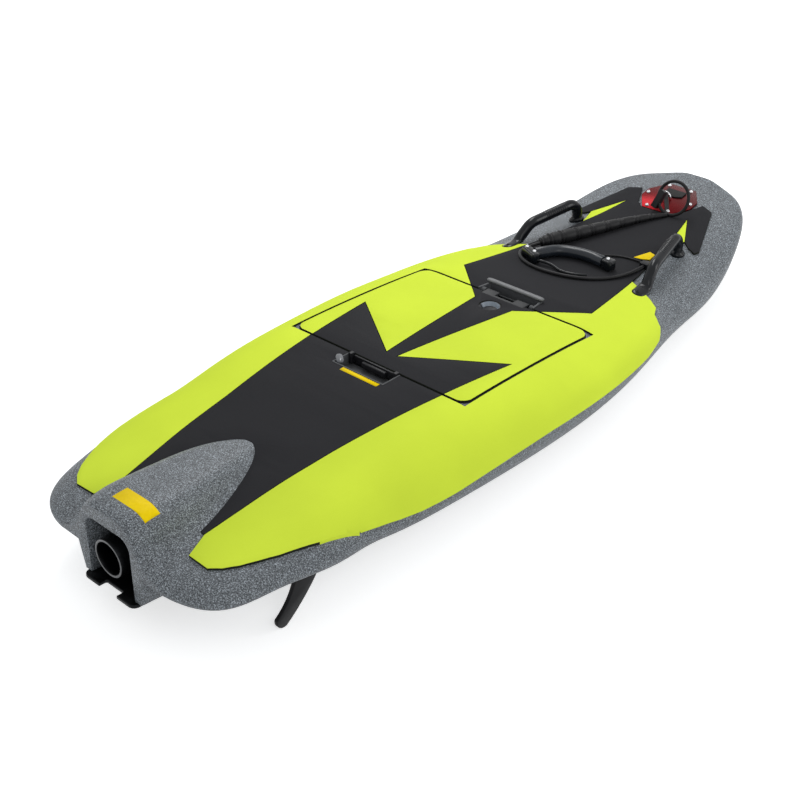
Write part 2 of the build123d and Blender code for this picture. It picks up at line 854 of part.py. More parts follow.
# Hinge pin and the moulded bezel that lines its pocket
with BuildPart() as hinge_pin:
    with BuildSketch(along(0)):
        with Locations((hinge_y, hinge_z)):
            Circle(pin_radius)
    extrude(amount=pin_half, both=True)
keep(hinge_pin.part, "hinge_pin")
with BuildPart() as hinge_bezel:
    add(front_pocket(slip, front_pocket_bottom + slip))
    add(front_pocket(bezel_wall, front_pocket_bottom + bezel_wall), mode=Mode.SUBTRACT)
    with BuildSketch(along(0)):
        with BuildLine():
            Polyline(
                (hatch_fore - overrun, bezel_top),
                (hatch_fore - overrun, depth + overrun),
                (front_pocket_fore + overrun, depth + overrun),
                (front_pocket_fore + overrun, bezel_top + bezel_rise),
                close=True,
            )
        make_face()
    extrude(amount=half_beam, both=True, mode=Mode.SUBTRACT)
    with BuildSketch(along(0)):
        with Locations((hatch_fore, hinge_z)):
            Rectangle(2 * (hinge_room - hatch_fore), overrun)
    extrude(amount=half_beam, both=True, mode=Mode.SUBTRACT)
    with BuildSketch(along(0)):
        with Locations((hinge_y, hinge_z)):
            Circle(lug_radius)
    extrude(amount=pin_half + bezel_wall, both=True)
    with BuildSketch(along(0)):
        with Locations((hinge_y, hinge_z)):
            Circle(lug_radius + slip)
    extrude(amount=pin_half - pin_seat, both=True, mode=Mode.SUBTRACT)
    with BuildSketch(along(0)):
        with Locations((hinge_y, hinge_z)):
            Circle(pin_radius)
    extrude(amount=pin_half, both=True, mode=Mode.SUBTRACT)
keep(hinge_bezel.part, "hinge_bezel")

# Latch tray in its pocket, and the latch on the hatch's aft edge
with BuildPart() as latch_tray:
    add(rear_pocket(slip, rear_pocket_half - slip))
    add(rear_pocket(tray_wall, rear_pocket_half - tray_wall), mode=Mode.SUBTRACT)
    with BuildSketch(level(tray_top)):
        with Locations((0, hatch_aft)):
            Rectangle(2 * half_beam, length)
    extrude(amount=depth, mode=Mode.SUBTRACT)
    with BuildSketch(along(0)):
        with Locations((hatch_aft + overrun, rear_pocket_floor)):
            Rectangle(2 * overrun, depth)
    extrude(amount=half_beam, both=True, mode=Mode.SUBTRACT)
keep(latch_tray.part, "latch_tray")
with BuildPart() as latch_plate:
    with BuildSketch(along(0)):
        with Locations((lid_aft - slip - latch_thick / 2, (latch_low + latch_high) / 2)):
            Rectangle(latch_thick, latch_high - latch_low)
    extrude(amount=latch_half, both=True)
keep(latch_plate.part, "latch_plate")
with BuildPart() as latch_bar:
    with BuildSketch(along((bar_low_x + bar_high_x) / 2)):
        with Locations((lid_aft - 2 * slip - latch_thick - bar_thick / 2, (bar_low + bar_high) / 2)):
            RectangleRounded(bar_thick, bar_high - bar_low, bar_round)
    extrude(amount=(bar_high_x - bar_low_x) / 2, both=True)
keep(latch_bar.part, "latch_bar")
with BuildPart() as latch_blocks:
    with BuildSketch(along(latch_half + block_gap + block_half)):
        with Locations((lid_aft - slip - block_long / 2, (latch_low + block_top) / 2)):
            Rectangle(block_long, block_top - latch_low)
    extrude(amount=block_half, both=True)
    mirror(about=Plane.YZ)
keep(latch_blocks.part, "latch_blocks")

# Round cap, a shallow dish sunk in the hatch
with BuildPart() as hatch_cap:
    with BuildSketch(along(0)):
        with BuildLine():
            rim, floor = cap_radius - slip, depth - cap_deep + slip
            Polyline(
                (cap_y, floor),
                (cap_y + rim, floor),
                (cap_y + rim, cap_top),
                (cap_y + rim - cap_wall, cap_top),
                (cap_y + rim * cap_dish_share, floor + cap_wall),
                (cap_y, floor + cap_wall),
                close=True,
            )
        make_face()
    revolve(axis=Axis(board.from_local_coords((0, cap_y, 0)), board.z_dir))
keep(hatch_cap.part, "hatch_cap")

# Battery: one plain block on the bay's floor
with BuildPart() as battery:
    with BuildSketch(level(bay_floor + slip)):
        with Locations((0, (bay_aft + bay_fore) / 2)):
            RectangleRounded(
                2 * (bay_half - battery_inset), bay_fore - bay_aft - battery_inset, battery_round
            )
    extrude(amount=battery_high)
keep(battery.part, "battery")

# Motor: one plain block against its bulkhead
with BuildPart() as motor:
    with BuildSketch(across(motor_wall + slip)):
        with Locations((0, jet_z)):
            Circle(motor_radius)
    extrude(amount=-motor_long)
    with BuildSketch(across(motor_wall + slip)):
        with Locations((0, jet_z - motor_radius / 2)):
            Rectangle(motor_radius, motor_radius + 2 * (motor_room - slip))
    extrude(amount=-motor_long)
    with BuildSketch(across(motor_wall)):
        with Locations((0, jet_z)):
            Circle(shaft_radius + slip)
    extrude(amount=-(motor_aft - motor_wall), mode=Mode.SUBTRACT)
keep(motor.part, "motor")


def turned(*points):
    """A ring turned about the jet's axis from its station and radius points."""
    with BuildPart() as ring:
        with BuildSketch(along(0)):
            with BuildLine():
                Polyline(*[(y, jet_z + radius) for y, radius in points], close=True)
            make_face()
        revolve(axis=Axis(board.from_local_coords((0, 0, jet_z)), board.y_dir))
    return ring.part


def blade_sketch(y, turn, reach, thick):
    """One radial blade's cross section at a station, turned about the jet's axis."""
    with BuildSketch(across(y)) as section:
        with Locations((0, jet_z)):
            with Locations(Rotation(0, 0, turn)):
                with Locations((reach / 2, 0)):
                    Rectangle(reach, thick)
    return section.sketch


# Pump housing: a bored ring with a flange against the tunnel's fore wall
flange_aft = tunnel_long - slip - flange_thick
with BuildPart() as pump_housing:
    add(
        turned(
            (pump_aft, pump_bore),
            (pump_aft, pump_radius),
            (tunnel_long - slip, pump_radius),
            (tunnel_long - slip, pump_bore),
        )
    )
    add(tunnel_block(flange_aft, tunnel_long - slip, slip, ride_top_fore))
    with BuildSketch(across(flange_aft)):
        with Locations((0, jet_z)):
            Circle(pump_bore)
    extrude(amount=-2 * flange_thick, mode=Mode.SUBTRACT)
keep(pump_housing.part, "pump_housing")

# Stator: a hub with straightening vanes that carries the shaft's bearing
with BuildPart() as stator:
    add(
        turned(
            (stator_aft - stator_nose, shaft_radius + bearing_slack),
            (stator_aft - stator_nose, hub_nose_radius),
            (stator_aft, hub_radius),
            (stator_aft + stator_long, hub_radius),
            (stator_aft + stator_long, shaft_radius + bearing_slack),
        )
    )
    for i in range(vane_count):
        with BuildSketch(across(stator_aft)):
            with Locations((0, jet_z)):
                with Locations(Rotation(0, 0, i * 360 / vane_count + 90)):
                    with Locations(((pump_bore - slip + vane_root) / 2, 0)):
                        Rectangle(pump_bore - slip - vane_root, vane_thick)
        extrude(amount=-stator_long)
    with BuildSketch(across(stator_aft)):
        with Locations((0, jet_z)):
            Circle(length)
            Circle(pump_bore - slip, mode=Mode.SUBTRACT)
    extrude(amount=-stator_long, mode=Mode.SUBTRACT)
keep(stator.part, "stator")

# Impeller: twisted blades on a hub, running close inside the housing
impeller_fore = impeller_aft + impeller_long
blade_run = impeller_long - 2 * blade_rim
with BuildPart() as impeller:
    add(
        turned(
            (impeller_aft, shaft_radius),
            (impeller_aft, hub_radius),
            (impeller_fore - hub_radius, hub_radius),
            (impeller_fore, hub_nose_radius),
            (impeller_fore, shaft_radius),
        )
    )
    for i in range(blade_count):
        with BuildPart(mode=Mode.PRIVATE) as blade:
            for step in range(blade_steps + 1):
                add(
                    blade_sketch(
                        impeller_aft + blade_rim + step * blade_run / blade_steps,
                        i * 360 / blade_count + step * blade_twist / blade_steps,
                        impeller_radius + blade_rim,
                        blade_thick,
                    )
                )
            loft()
        add(blade.part)
    add(
        turned(
            (impeller_aft - overrun, impeller_radius),
            (impeller_aft - overrun, impeller_radius + overrun),
            (impeller_fore + overrun, impeller_radius + overrun),
            (impeller_fore + overrun, impeller_radius),
        ),
        mode=Mode.SUBTRACT,
    )
    with BuildSketch(across(impeller_aft - overrun)):
        with Locations((0, jet_z)):
            Circle(shaft_radius)
    extrude(amount=-length, mode=Mode.SUBTRACT)
keep(impeller.part, "impeller")
with BuildPart() as drive_shaft:
    with BuildSketch(across(stator_aft)):
        with Locations((0, jet_z)):
            Circle(shaft_radius)
    extrude(amount=-(motor_aft - slip - stator_aft))
keep(drive_shaft.part, "drive_shaft")

# Nozzle: a cone from the pump to the outlet's thin lip
with BuildPart() as nozzle:
    add(
        turned(
            (nozzle_aft, nozzle_radius - nozzle_wall),
            (nozzle_aft, nozzle_radius),
            (nozzle_aft + nozzle_lip, nozzle_radius),
            (pump_aft - slip - flange_thick, pump_bore + nozzle_wall / 2),
            (pump_aft - slip - flange_thick, pump_radius),
            (pump_aft - slip, pump_radius),
            (pump_aft - slip, pump_bore),
            (pump_aft - slip - flange_thick, pump_bore - nozzle_wall / 2),
            (nozzle_aft + nozzle_lip, nozzle_radius - nozzle_wall),
        )
    )
keep(nozzle.part, "nozzle")

# Intake grate: a rim with bars along the flow, flush in the keel
with BuildPart() as intake_grate:
    with BuildSketch(level(slip)):
        with Locations((0, (grate_aft + grate_fore) / 2)):
            RectangleRounded(2 * grate_half, grate_fore - grate_aft, grate_round - slip)
            RectangleRounded(
                2 * (grate_half - grate_rim),
                grate_fore - grate_aft - 2 * grate_rim,
                grate_round - grate_rim,
                mode=Mode.SUBTRACT,
            )
            with GridLocations(2 * (grate_half - grate_rim) / bar_count, 0, bar_count - 1, 1):
                Rectangle(grate_bar, grate_fore - grate_aft - grate_rim)
    extrude(amount=grate_thick)
keep(intake_grate.part, "intake_grate")

# Ride plate: closes the tunnel's bottom, with two prongs either side of a notch at the tail
with BuildPart() as ride_plate:
    add(ride_block(0, ride_thick))
    with BuildSketch(ride_plane()):
        with Locations((0, ride_aft)):
            RectangleRounded(2 * ride_notch_half, 2 * (ride_notch - ride_aft), ride_notch)
    extrude(amount=-2 * ride_thick, mode=Mode.SUBTRACT)
    tail_face = ride_plate.faces().sort_by(Axis.Y)[0:2]
    uprights = [edge for face in tail_face for edge in face.edges() if edge.length < 2 * ride_thick]
    fillet([edge for edge in uprights if abs(edge.center().X) > ride_half - slip], ride_lobe_round)
keep(ride_plate.part, "ride_plate")

# Fins: swept back, their feet seated against the hull's bottom
for side, name in ((1, "fin_starboard"), (-1, "fin_port")):
    with BuildPart() as fin:
        with BuildSketch(along(side * fin_x)):
            with BuildLine():
                ThreePointArc(
                    (fin_root_fore, fin_root_z),
                    (fin_belly_y + fin_sweep, fin_belly_z - fin_sweep),
                    (fin_tip_y, -fin_reach),
                )
                ThreePointArc(
                    (fin_tip_y, -fin_reach),
                    (fin_tip_y - 2 * fin_nose, -fin_reach + fin_nose),
                    (fin_tip_y - 2 * fin_nose, -fin_reach + 2 * fin_nose),
                )
                ThreePointArc(
                    (fin_tip_y - 2 * fin_nose, -fin_reach + 2 * fin_nose),
                    (fin_root_aft - fin_sweep, fin_belly_z - fin_sweep),
                    (fin_root_aft, fin_root_z),
                )
                Line((fin_root_aft, fin_root_z), (fin_root_fore, fin_root_z))
            make_face()
        extrude(amount=fin_thick / 2, both=True)
        add(fin_seat, mode=Mode.SUBTRACT)
    keep(fin.part, name)

# Foot handles: one bent tube each side, a round boss in front and a flat foot aft
for side, name in ((1, "foot_handle_starboard"), (-1, "foot_handle_port")):
    with BuildPart() as handle:
        with BuildLine(board) as route:
            FilletPolyline(
                (side * handle_front_x, handle_front_y, depth - handle_sunk),
                (side * handle_front_x, handle_front_y, handle_front_z),
                (side * handle_aft_x, handle_aft_y, handle_aft_z),
                (side * handle_foot_x, handle_foot_y, depth - 2 * handle_sunk),
                radius=[handle_front_bend, handle_aft_bend],
            )
        with BuildSketch(Plane(origin=route.line @ 0, z_dir=route.line % 0)):
            Circle(handle_tube)
        sweep(path=route.line)
        add(front_foot(side))
        add(aft_foot(side, 0))
        add(seat, mode=Mode.SUBTRACT)
    keep(handle.part, name)

# Nose plate: an octagon screwed to the deck
with BuildPart() as nose_plate:
    add(plate_block(0, -plate_sunk, plate_thick))
    add(seat, mode=Mode.SUBTRACT)
keep(nose_plate.part, "nose_plate")

# Eye: a bent rod with both feet on the plate
foot_plane = plate_face(plate_thick + slip)
eye_plane = Plane(
    origin=foot_plane.from_local_coords((eye_x, eye_y, 0)),
    x_dir=foot_plane.x_dir,
    z_dir=-foot_plane.y_dir,
)
with BuildPart() as nose_eye:
    with BuildLine(eye_plane) as bow_line:
        Line((-eye_half, 0), (-eye_half, eye_high))
        RadiusArc((-eye_half, eye_high), (eye_half, eye_high), eye_half)
        Line((eye_half, eye_high), (eye_half, 0))
    with BuildSketch(Plane(origin=bow_line.line @ 0, z_dir=foot_plane.z_dir)):
        Circle(eye_rod)
    sweep(path=bow_line.line)
keep(nose_eye.part, "nose_eye")

ring_plane = Plane(
    origin=board.from_local_coords((ring_x, ring_y, ring_z)),
    x_dir=board.x_dir,
    z_dir=board.y_dir * cos(radians(ring_lean)) - board.z_dir * sin(radians(ring_lean)),
)


def ring_form(grow):
    """The tether ring's round tube, grown outwards."""
    with BuildPart(ring_plane) as form:
        Torus(ring_radius, ring_tube + grow)
    return form.part


# Tether ring: a moulded loop with a block on its port side
with BuildPart(ring_plane) as tether_ring:
    Torus(ring_radius, ring_tube)
    with Locations(Location((block_x, block_down, 0), (0, 0, block_turn))):
        Box(block_wide, block_tall, block_deep)
keep(tether_ring.part, "tether_ring")

# Strap and tab: flat webbing on the plate, from the eye to the ring
with BuildPart() as nose_strap:
    with BuildSketch(foot_plane):
        with BuildLine():
            run = (strap_aft_x - strap_fore_x, strap_aft_y - strap_fore_y)
            side_x = -run[1] / hypot(*run) * strap_half
            side_y = run[0] / hypot(*run) * strap_half
            Polyline(
                (strap_fore_x + side_x, strap_fore_y + side_y),
                (strap_fore_x - side_x, strap_fore_y - side_y),
                (strap_aft_x - side_x, strap_aft_y - side_y),
                (strap_aft_x + side_x, strap_aft_y + side_y),
                close=True,
            )
        make_face()
    extrude(amount=strap_thick)
    add(ring_form(slip), mode=Mode.SUBTRACT)
keep(nose_strap.part, "nose_strap")
with BuildPart() as nose_tab:
    with BuildSketch(foot_plane):
        with BuildLine():
            Polyline(
                (-tab_wide, tab_fore),
                (-tab_wide, tab_mid),
                (-tab_mid, tab_aft),
                (tab_aft, tab_aft),
                (tab_wide, tab_mid),
                (tab_wide, tab_fore),
                close=True,
            )
        make_face()
    extrude(amount=tab_thick)
keep(nose_tab.part, "nose_tab")

rest = hull_form(2 * slip + pad_thick)


def place(shares):
    """A point on or over the deck from its shares of the half beam, length and depth."""
    return (shares[0] * half_beam, shares[1] * length, shares[2] * depth)


def bend_radii(points):
    """For each bend, the radius whose arc takes the same share of the shorter run beside it."""
    radii = []
    for before, here, after in zip(points, points[1:], points[2:]):
        into, out = Vector(*here) - Vector(*before), Vector(*after) - Vector(*here)
        turn = radians(into.get_angle(out))
        radii.append(bend_share * min(into.length, out.length) / tan(turn / 2))
    return radii


def tube(points, radius):
    """A round tube through points in the board's frame, with an arc at each bend."""
    with BuildPart() as piece:
        with BuildLine(board) as route:
            FilletPolyline(*points, radius=bend_radii(points))
        with BuildSketch(Plane(origin=route.line @ 0, z_dir=route.line % 0)):
            Circle(radius)
        sweep(path=route.line)
    return piece.part


def bar(ends, low, high, wide, corner):
    """An upright block with rounded corners between two points of the deck plan."""
    aft = Vector(ends[0], ends[1])
    fore = Vector(ends[2], ends[3])
    turn = degrees(atan2(fore.Y - aft.Y, fore.X - aft.X))
    middle_point = (aft + fore) / 2
    with BuildPart() as block:
        with BuildSketch(level(low)):
            with Locations(Location((middle_point.X, middle_point.Y, 0), (0, 0, turn))):
                RectangleRounded((fore - aft).length, wide, corner)
        extrude(amount=high - low)
    return block.part


def yoke_room():
    """The room that the yoke takes out of what it holds."""
    return bar(yoke_ends, yoke_low - overrun, yoke_high + overrun, yoke_wide + 2 * slip, yoke_round)


# Tether sleeve: tapered ribs with a groove between each, over a thinner neck
cable_points = [place(shares) for shares in CABLE_SHARES]
cord_points = [place(shares) for shares in CORD_SHARES]
sleeve_points = [place(shares) for shares in SLEEVE_SHARES]
sleeve_radii = [shares[3] * sleeve_radius for shares in SLEEVE_SHARES]
sleeve_last = len(SLEEVE_SHARES) - 1
with BuildPart() as tether_sleeve:
    for i in range(sleeve_last + 1):
        here = board.from_local_coords(sleeve_points[i])
        onward = board.from_local_coords(sleeve_points[min(i + 1, sleeve_last)])
        behind = board.from_local_coords(sleeve_points[i - 1] if i else cable_points[1])
        with BuildSketch(Plane(origin=here, z_dir=(onward if i else here) - behind)):
            Circle(sleeve_radii[i] * sleeve_neck)
    loft()
    for i in range(sleeve_last):
        here = board.from_local_coords(sleeve_points[i])
        onward = board.from_local_coords(sleeve_points[i + 1])
        rib = Plane(origin=here, z_dir=onward - here)
        with BuildPart(mode=Mode.PRIVATE) as ring_of_sleeve:
            with BuildSketch(rib.offset(groove / 2)):
                Circle(sleeve_radii[i])
            with BuildSketch(rib.offset((onward - here).length - groove / 2)):
                Circle(sleeve_radii[i + 1])
            loft()
        add(ring_of_sleeve.part)
    add(rest, mode=Mode.SUBTRACT)
    add(ring_form(slip), mode=Mode.SUBTRACT)
keep(tether_sleeve.part, "tether_sleeve")

# Throttle grip: yoke, tube, end fitting and lever
with BuildPart() as throttle_yoke:
    add(bar(yoke_ends, yoke_low, yoke_high, yoke_wide, yoke_round))
    add(rest, mode=Mode.SUBTRACT)
keep(throttle_yoke.part, "throttle_yoke")
with BuildPart() as throttle_fitting:
    add(bar(end_ends, end_low, end_high, end_wide, end_round))
    add(rest, mode=Mode.SUBTRACT)
keep(throttle_fitting.part, "throttle_fitting")
gland_mouth = board.from_local_coords(cord_points[-1])
gland_run = (board.from_local_coords(cord_points[-2]) - gland_mouth).normalized()
with BuildPart() as throttle_grip:
    add(tube([place(shares) for shares in GRIP_SHARES], grip_radius))
    with BuildSketch(Plane(origin=gland_mouth, z_dir=gland_run)):
        Circle(gland_radius)
    extrude(amount=-gland_long)
    add(rest, mode=Mode.SUBTRACT)
    add(yoke_room(), mode=Mode.SUBTRACT)
    add(bar(end_ends, end_low - overrun, end_high + overrun, end_wide, slip), mode=Mode.SUBTRACT)
keep(throttle_grip.part, "throttle_grip")
with BuildPart() as throttle_lever:
    add(tube([place(shares) for shares in LEVER_SHARES], lever_thick))
    add(yoke_room(), mode=Mode.SUBTRACT)
    add(rest, mode=Mode.SUBTRACT)
keep(throttle_lever.part, "throttle_lever")

# Tether cable and tag cord, and the clip and tag where they meet
keep(tube(cable_points, cable_radius), "tether_cable")
keep(tube(cord_points, cord_radius), "tag_cord")
print("cable radii", [round(radius, 1) for radius in bend_radii(cable_points)])
print("cord radii", [round(radius, 1) for radius in bend_radii(cord_points)])
clip_x, clip_y = cord_points[0][0], cable_points[-1][1] + clip_wide / 2
with BuildPart() as tag_clip:
    add(bar((clip_x, clip_y, clip_x + clip_long, clip_y), clip_low, clip_high, clip_wide, clip_round))
    add(rest, mode=Mode.SUBTRACT)
keep(tag_clip.part, "tag_clip")
with BuildPart() as tag:
    with BuildSketch(level(clip_high + slip)):
        with BuildLine():
            Polyline(*[spot(*shares) for shares in TAG_SHARES], close=True)
        make_face()
    extrude(amount=tag_thick)
keep(tag.part, "tag")
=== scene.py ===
# %% [markdown]
# # An electric jet surfboard
# The board is a moulded hull with foam pads glued to its deck, a hatch over the battery and a water jet
# in the tail. The solid model already holds every size, so this lesson loads it as a fixed frame and
# only gives it finishes, softer edges and the fine pieces that a solid modeller leaves plain.

import json
import math

import bmesh
import bpy
import numpy as np
from mathutils import Matrix, Vector

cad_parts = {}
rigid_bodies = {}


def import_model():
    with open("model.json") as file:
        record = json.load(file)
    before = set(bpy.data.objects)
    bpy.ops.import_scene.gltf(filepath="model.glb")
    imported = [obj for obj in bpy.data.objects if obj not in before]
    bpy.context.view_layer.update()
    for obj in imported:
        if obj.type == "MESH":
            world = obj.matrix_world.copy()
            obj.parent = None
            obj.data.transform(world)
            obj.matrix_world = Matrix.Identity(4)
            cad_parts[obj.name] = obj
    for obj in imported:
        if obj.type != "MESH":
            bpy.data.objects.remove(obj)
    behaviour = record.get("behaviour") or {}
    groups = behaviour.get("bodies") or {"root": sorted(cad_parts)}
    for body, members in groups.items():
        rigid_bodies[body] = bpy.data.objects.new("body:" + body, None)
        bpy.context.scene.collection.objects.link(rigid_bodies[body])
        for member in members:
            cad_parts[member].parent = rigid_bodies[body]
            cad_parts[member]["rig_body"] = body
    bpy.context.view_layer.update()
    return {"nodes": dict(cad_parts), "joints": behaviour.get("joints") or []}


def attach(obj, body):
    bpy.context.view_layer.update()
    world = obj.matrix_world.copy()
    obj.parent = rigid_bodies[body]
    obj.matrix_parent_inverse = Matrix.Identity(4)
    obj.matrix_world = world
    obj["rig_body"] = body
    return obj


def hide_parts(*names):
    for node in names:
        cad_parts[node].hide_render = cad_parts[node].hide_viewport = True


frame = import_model()

# %% [markdown]
# ## Places on the board
# The board is parked a little nose down on its fin tips. Its own directions are starboard, bow and up,
# and the jet's joint tells how they lie: its axis points to the bow. With those, a place can be written
# the way a boat builder would say it: so far to starboard, so far from the tail, so high over the keel.

# %% Board directions
MM = 0.001
jet = next(joint for joint in frame["joints"] if joint["name"] == "impeller_spin")
starboard = np.array((1.0, 0.0, 0.0))
bow = np.array(jet["axis"], float)
up = np.cross(starboard, bow)
IMPELLER_FROM_TAIL = 0.260
JET_OVER_KEEL = 0.086
tail = np.array(jet["pos_m"], float) - IMPELLER_FROM_TAIL * bow - JET_OVER_KEEL * up


def on_board(points):
    """Places given as starboard, from the tail and over the keel, in millimetres, become metres in the
    frame: the tail's place plus each measure times its direction."""
    points = np.asarray(points, float) * MM
    return tail + points[..., :1] * starboard + points[..., 1:2] * bow + points[..., 2:] * up


print("tail", tail.round(4), "bow", bow.round(4))

# %% [markdown]
# ## The camera
# The picture was taken from the starboard quarter, above the tail. The camera's place, its roll and its
# lens were found by matching the board's outline and the corners of its pads, so they are written down
# here as measures and nothing is shifted.

# %% Camera
LENS_MM = 58.446
SENSOR_MM = 36.0
CAMERA_PLACE = (1.72413, -2.03315, 1.77003)
camera_data = bpy.data.cameras.new("camera")
camera_data.lens = LENS_MM
camera_data.sensor_width = SENSOR_MM
camera = bpy.data.objects.new("camera", camera_data)
bpy.context.scene.collection.objects.link(camera)
camera_right = Vector((0.74027, 0.67147, -0.03354))
camera_up = Vector((-0.35322, 0.43089, 0.83040))
camera_back = camera_right.cross(camera_up)
turn = Matrix((camera_right, camera_up, camera_back)).transposed()
camera.matrix_world = Matrix.Translation(CAMERA_PLACE) @ turn.to_4x4()
bpy.context.scene.camera = camera
bpy.context.scene.view_settings.view_transform = "Standard"
print("camera", camera.location)

# %% [markdown]
# ## Light and floor
# A white studio: the sky gives half of the light, evenly, and a long lamp over the port bow gives most of
# the rest, so that edges and tubes get a narrow highlight. A second lamp stands at the starboard quarter
# and a low third one lights the flank at the nose. Rays that the camera, a mirror or glass sends out see
# plain white. The floor is a pale matt sheet that keeps the shadow under the hull.


# %% Studio
def link_nodes(tree, source, target):
    """Join two sockets."""
    tree.links.new(source, target)


def white_rays(tree):
    """A factor that is 1 for camera, mirror and glass rays and 0 for the rays that carry light."""
    path = tree.nodes.new("ShaderNodeLightPath")
    either = path.outputs["Is Camera Ray"]
    for name in ("Is Glossy Ray", "Is Transmission Ray"):
        most = tree.nodes.new("ShaderNodeMath")
        most.operation = "MAXIMUM"
        link_nodes(tree, either, most.inputs[0])
        link_nodes(tree, path.outputs[name], most.inputs[1])
        either = most.outputs[0]
    return either


SKY_COLOUR = (0.95, 0.98, 1.0, 1.0)
SKY_STRENGTH = 0.56
WHITE = (1.0, 1.0, 1.0, 1.0)
world = bpy.data.worlds.new("studio")
bpy.context.scene.world = world
world.use_nodes = True
sky = world.node_tree
sky.nodes.clear()
soft_sky = sky.nodes.new("ShaderNodeBackground")
soft_sky.inputs["Color"].default_value = SKY_COLOUR
soft_sky.inputs["Strength"].default_value = SKY_STRENGTH
white_sky = sky.nodes.new("ShaderNodeBackground")
white_sky.inputs["Color"].default_value = WHITE
white_sky.inputs["Strength"].default_value = 1.0
choose = sky.nodes.new("ShaderNodeMixShader")
link_nodes(sky, white_rays(sky), choose.inputs[0])
link_nodes(sky, soft_sky.outputs[0], choose.inputs[1])
link_nodes(sky, white_sky.outputs[0], choose.inputs[2])
link_nodes(sky, choose.outputs[0], sky.nodes.new("ShaderNodeOutputWorld").inputs[0])


def softbox(name, place, aim, wide, tall, watts):
    """A lamp of a width and a height at a place, facing a point."""
    lamp_data = bpy.data.lights.new(name, "AREA")
    lamp_data.shape = "RECTANGLE"
    lamp_data.size = wide
    lamp_data.size_y = tall
    lamp_data.energy = watts
    lamp = bpy.data.objects.new(name, lamp_data)
    bpy.context.scene.collection.objects.link(lamp)
    way = Vector(aim) - Vector(place)
    lamp.matrix_world = Matrix.Translation(place) @ way.to_track_quat("-Z", "Y").to_matrix().to_4x4()
    return lamp


LAMPS = [
    ("key_lamp", (-1.2, 1.4, 3.0), (0.0, 0.0, 0.1), 0.9, 2.4, 50.0),
    ("fill_lamp", (2.6, -1.6, 2.2), (0.0, -0.3, 0.1), 1.2, 1.8, 14.0),
    ("bow_lamp", (2.2, 1.9, 1.3), (0.2, 0.8, 0.15), 0.8, 1.6, 16.0),
]
for lamp_row in LAMPS:
    softbox(*lamp_row)

floor_mesh = bpy.data.meshes.new("floor")
FLOOR_HALF = 12.0
corners = [(-FLOOR_HALF, -FLOOR_HALF, 0), (FLOOR_HALF, -FLOOR_HALF, 0), (FLOOR_HALF, FLOOR_HALF, 0)]
floor_mesh.from_pydata([*corners, (-FLOOR_HALF, FLOOR_HALF, 0)], [], [(0, 1, 2, 3)])
floor = bpy.data.objects.new("floor", floor_mesh)
bpy.context.scene.collection.objects.link(floor)

# %% [markdown]
# ## The two loose cords
# A limp cable runs from the tether sleeve round the throttle grip to a clip, and a thin cord goes on
# from the clip to the grip. Each is one smooth curve through a handful of control points that lie where
# the solid tubes lie. The order and the end points are set after the points, because set before, they
# are lost and the curve becomes straight runs.


# %% Cords
CORD_SIDES = 6
CORD_STEPS = 16


def cord_curve(name, points, diameter):
    """A round cord: a quadratic curve pulled towards its control points, swept by a circle."""
    data = bpy.data.curves.new(name, "CURVE")
    data.dimensions = "3D"
    data.bevel_depth = diameter / 2
    data.bevel_resolution = CORD_SIDES
    data.use_fill_caps = True
    line = data.splines.new("NURBS")
    line.points.add(len(points) - 1)
    for knot, place in zip(line.points, on_board(points)):
        knot.co = (*place, 1.0)
    line.order_u = 3
    line.use_endpoint_u = True
    line.resolution_u = CORD_STEPS
    cord = bpy.data.objects.new(name, data)
    bpy.context.scene.collection.objects.link(cord)
    return cord


CABLE_POINTS = [
    (-122.7, 1513.6, 204.4),
    (-140.8, 1485.3, 197.9),
    (-142.1, 1446.0, 195.7),
    (-100.0, 1410.0, 195.7),
    (-45.0, 1398.1, 195.7),
    (10.0, 1403.9, 195.9),
    (62.0, 1421.9, 195.7),
    (108.0, 1456.0, 195.1),
    (136.0, 1502.1, 194.5),
    (148.0, 1553.1, 194.7),
    (148.0, 1596.2, 194.7),
]
CORD_POINTS = [
    (135.0, 1612.1, 196.8),
    (108.3, 1612.1, 196.8),
    (74.0, 1605.0, 197.2),
    (43.3, 1585.7, 196.9),
    (18.0, 1561.1, 198.0),
]
CABLE_THICK = 0.009
CORD_THICK = 0.005
cable = cord_curve("cable", CABLE_POINTS, CABLE_THICK)
thin_cord = cord_curve("thin_cord", CORD_POINTS, CORD_THICK)
print("cord points", len(CABLE_POINTS), len(CORD_POINTS))

# %% [markdown]
# ## How the finishes are made
# Every finish starts from one shader whose plain numbers sit on its own sockets. Patterns are clouds
# and waves read on the object's own coordinates, so they stay put when a piece moves and are at their
# real size: a scale of 400 means grains of two to three millimetres.


# %% Finish helpers
def start_finish(name, roughness, metallic=0.0, specular=0.5):
    """A new material with one shader, and its plain numbers."""
    material = bpy.data.materials.new(name)
    material.use_nodes = True
    tree = material.node_tree
    shader = tree.nodes["Principled BSDF"]
    shader.inputs["Roughness"].default_value = roughness
    shader.inputs["Metallic"].default_value = metallic
    shader.inputs["Specular IOR Level"].default_value = specular
    return material, tree, shader


def coordinates(tree, stretch=(1.0, 1.0, 1.0)):
    """The object's own coordinates, pulled along each axis by a stretch."""
    place = tree.nodes.new("ShaderNodeTexCoord")
    scale = tree.nodes.new("ShaderNodeMapping")
    scale.inputs["Scale"].default_value = stretch
    link_nodes(tree, place.outputs["Object"], scale.inputs["Vector"])
    return scale.outputs["Vector"]


def clouds(tree, scale, detail=2.0, rough=0.5, stretch=(1.0, 1.0, 1.0)):
    """A soft random pattern from 0 to 1, with so many lumps to a metre."""
    noise = tree.nodes.new("ShaderNodeTexNoise")
    noise.inputs["Scale"].default_value = scale
    noise.inputs["Detail"].default_value = detail
    noise.inputs["Roughness"].default_value = rough
    link_nodes(tree, coordinates(tree, stretch), noise.inputs["Vector"])
    return noise.outputs["Fac"]


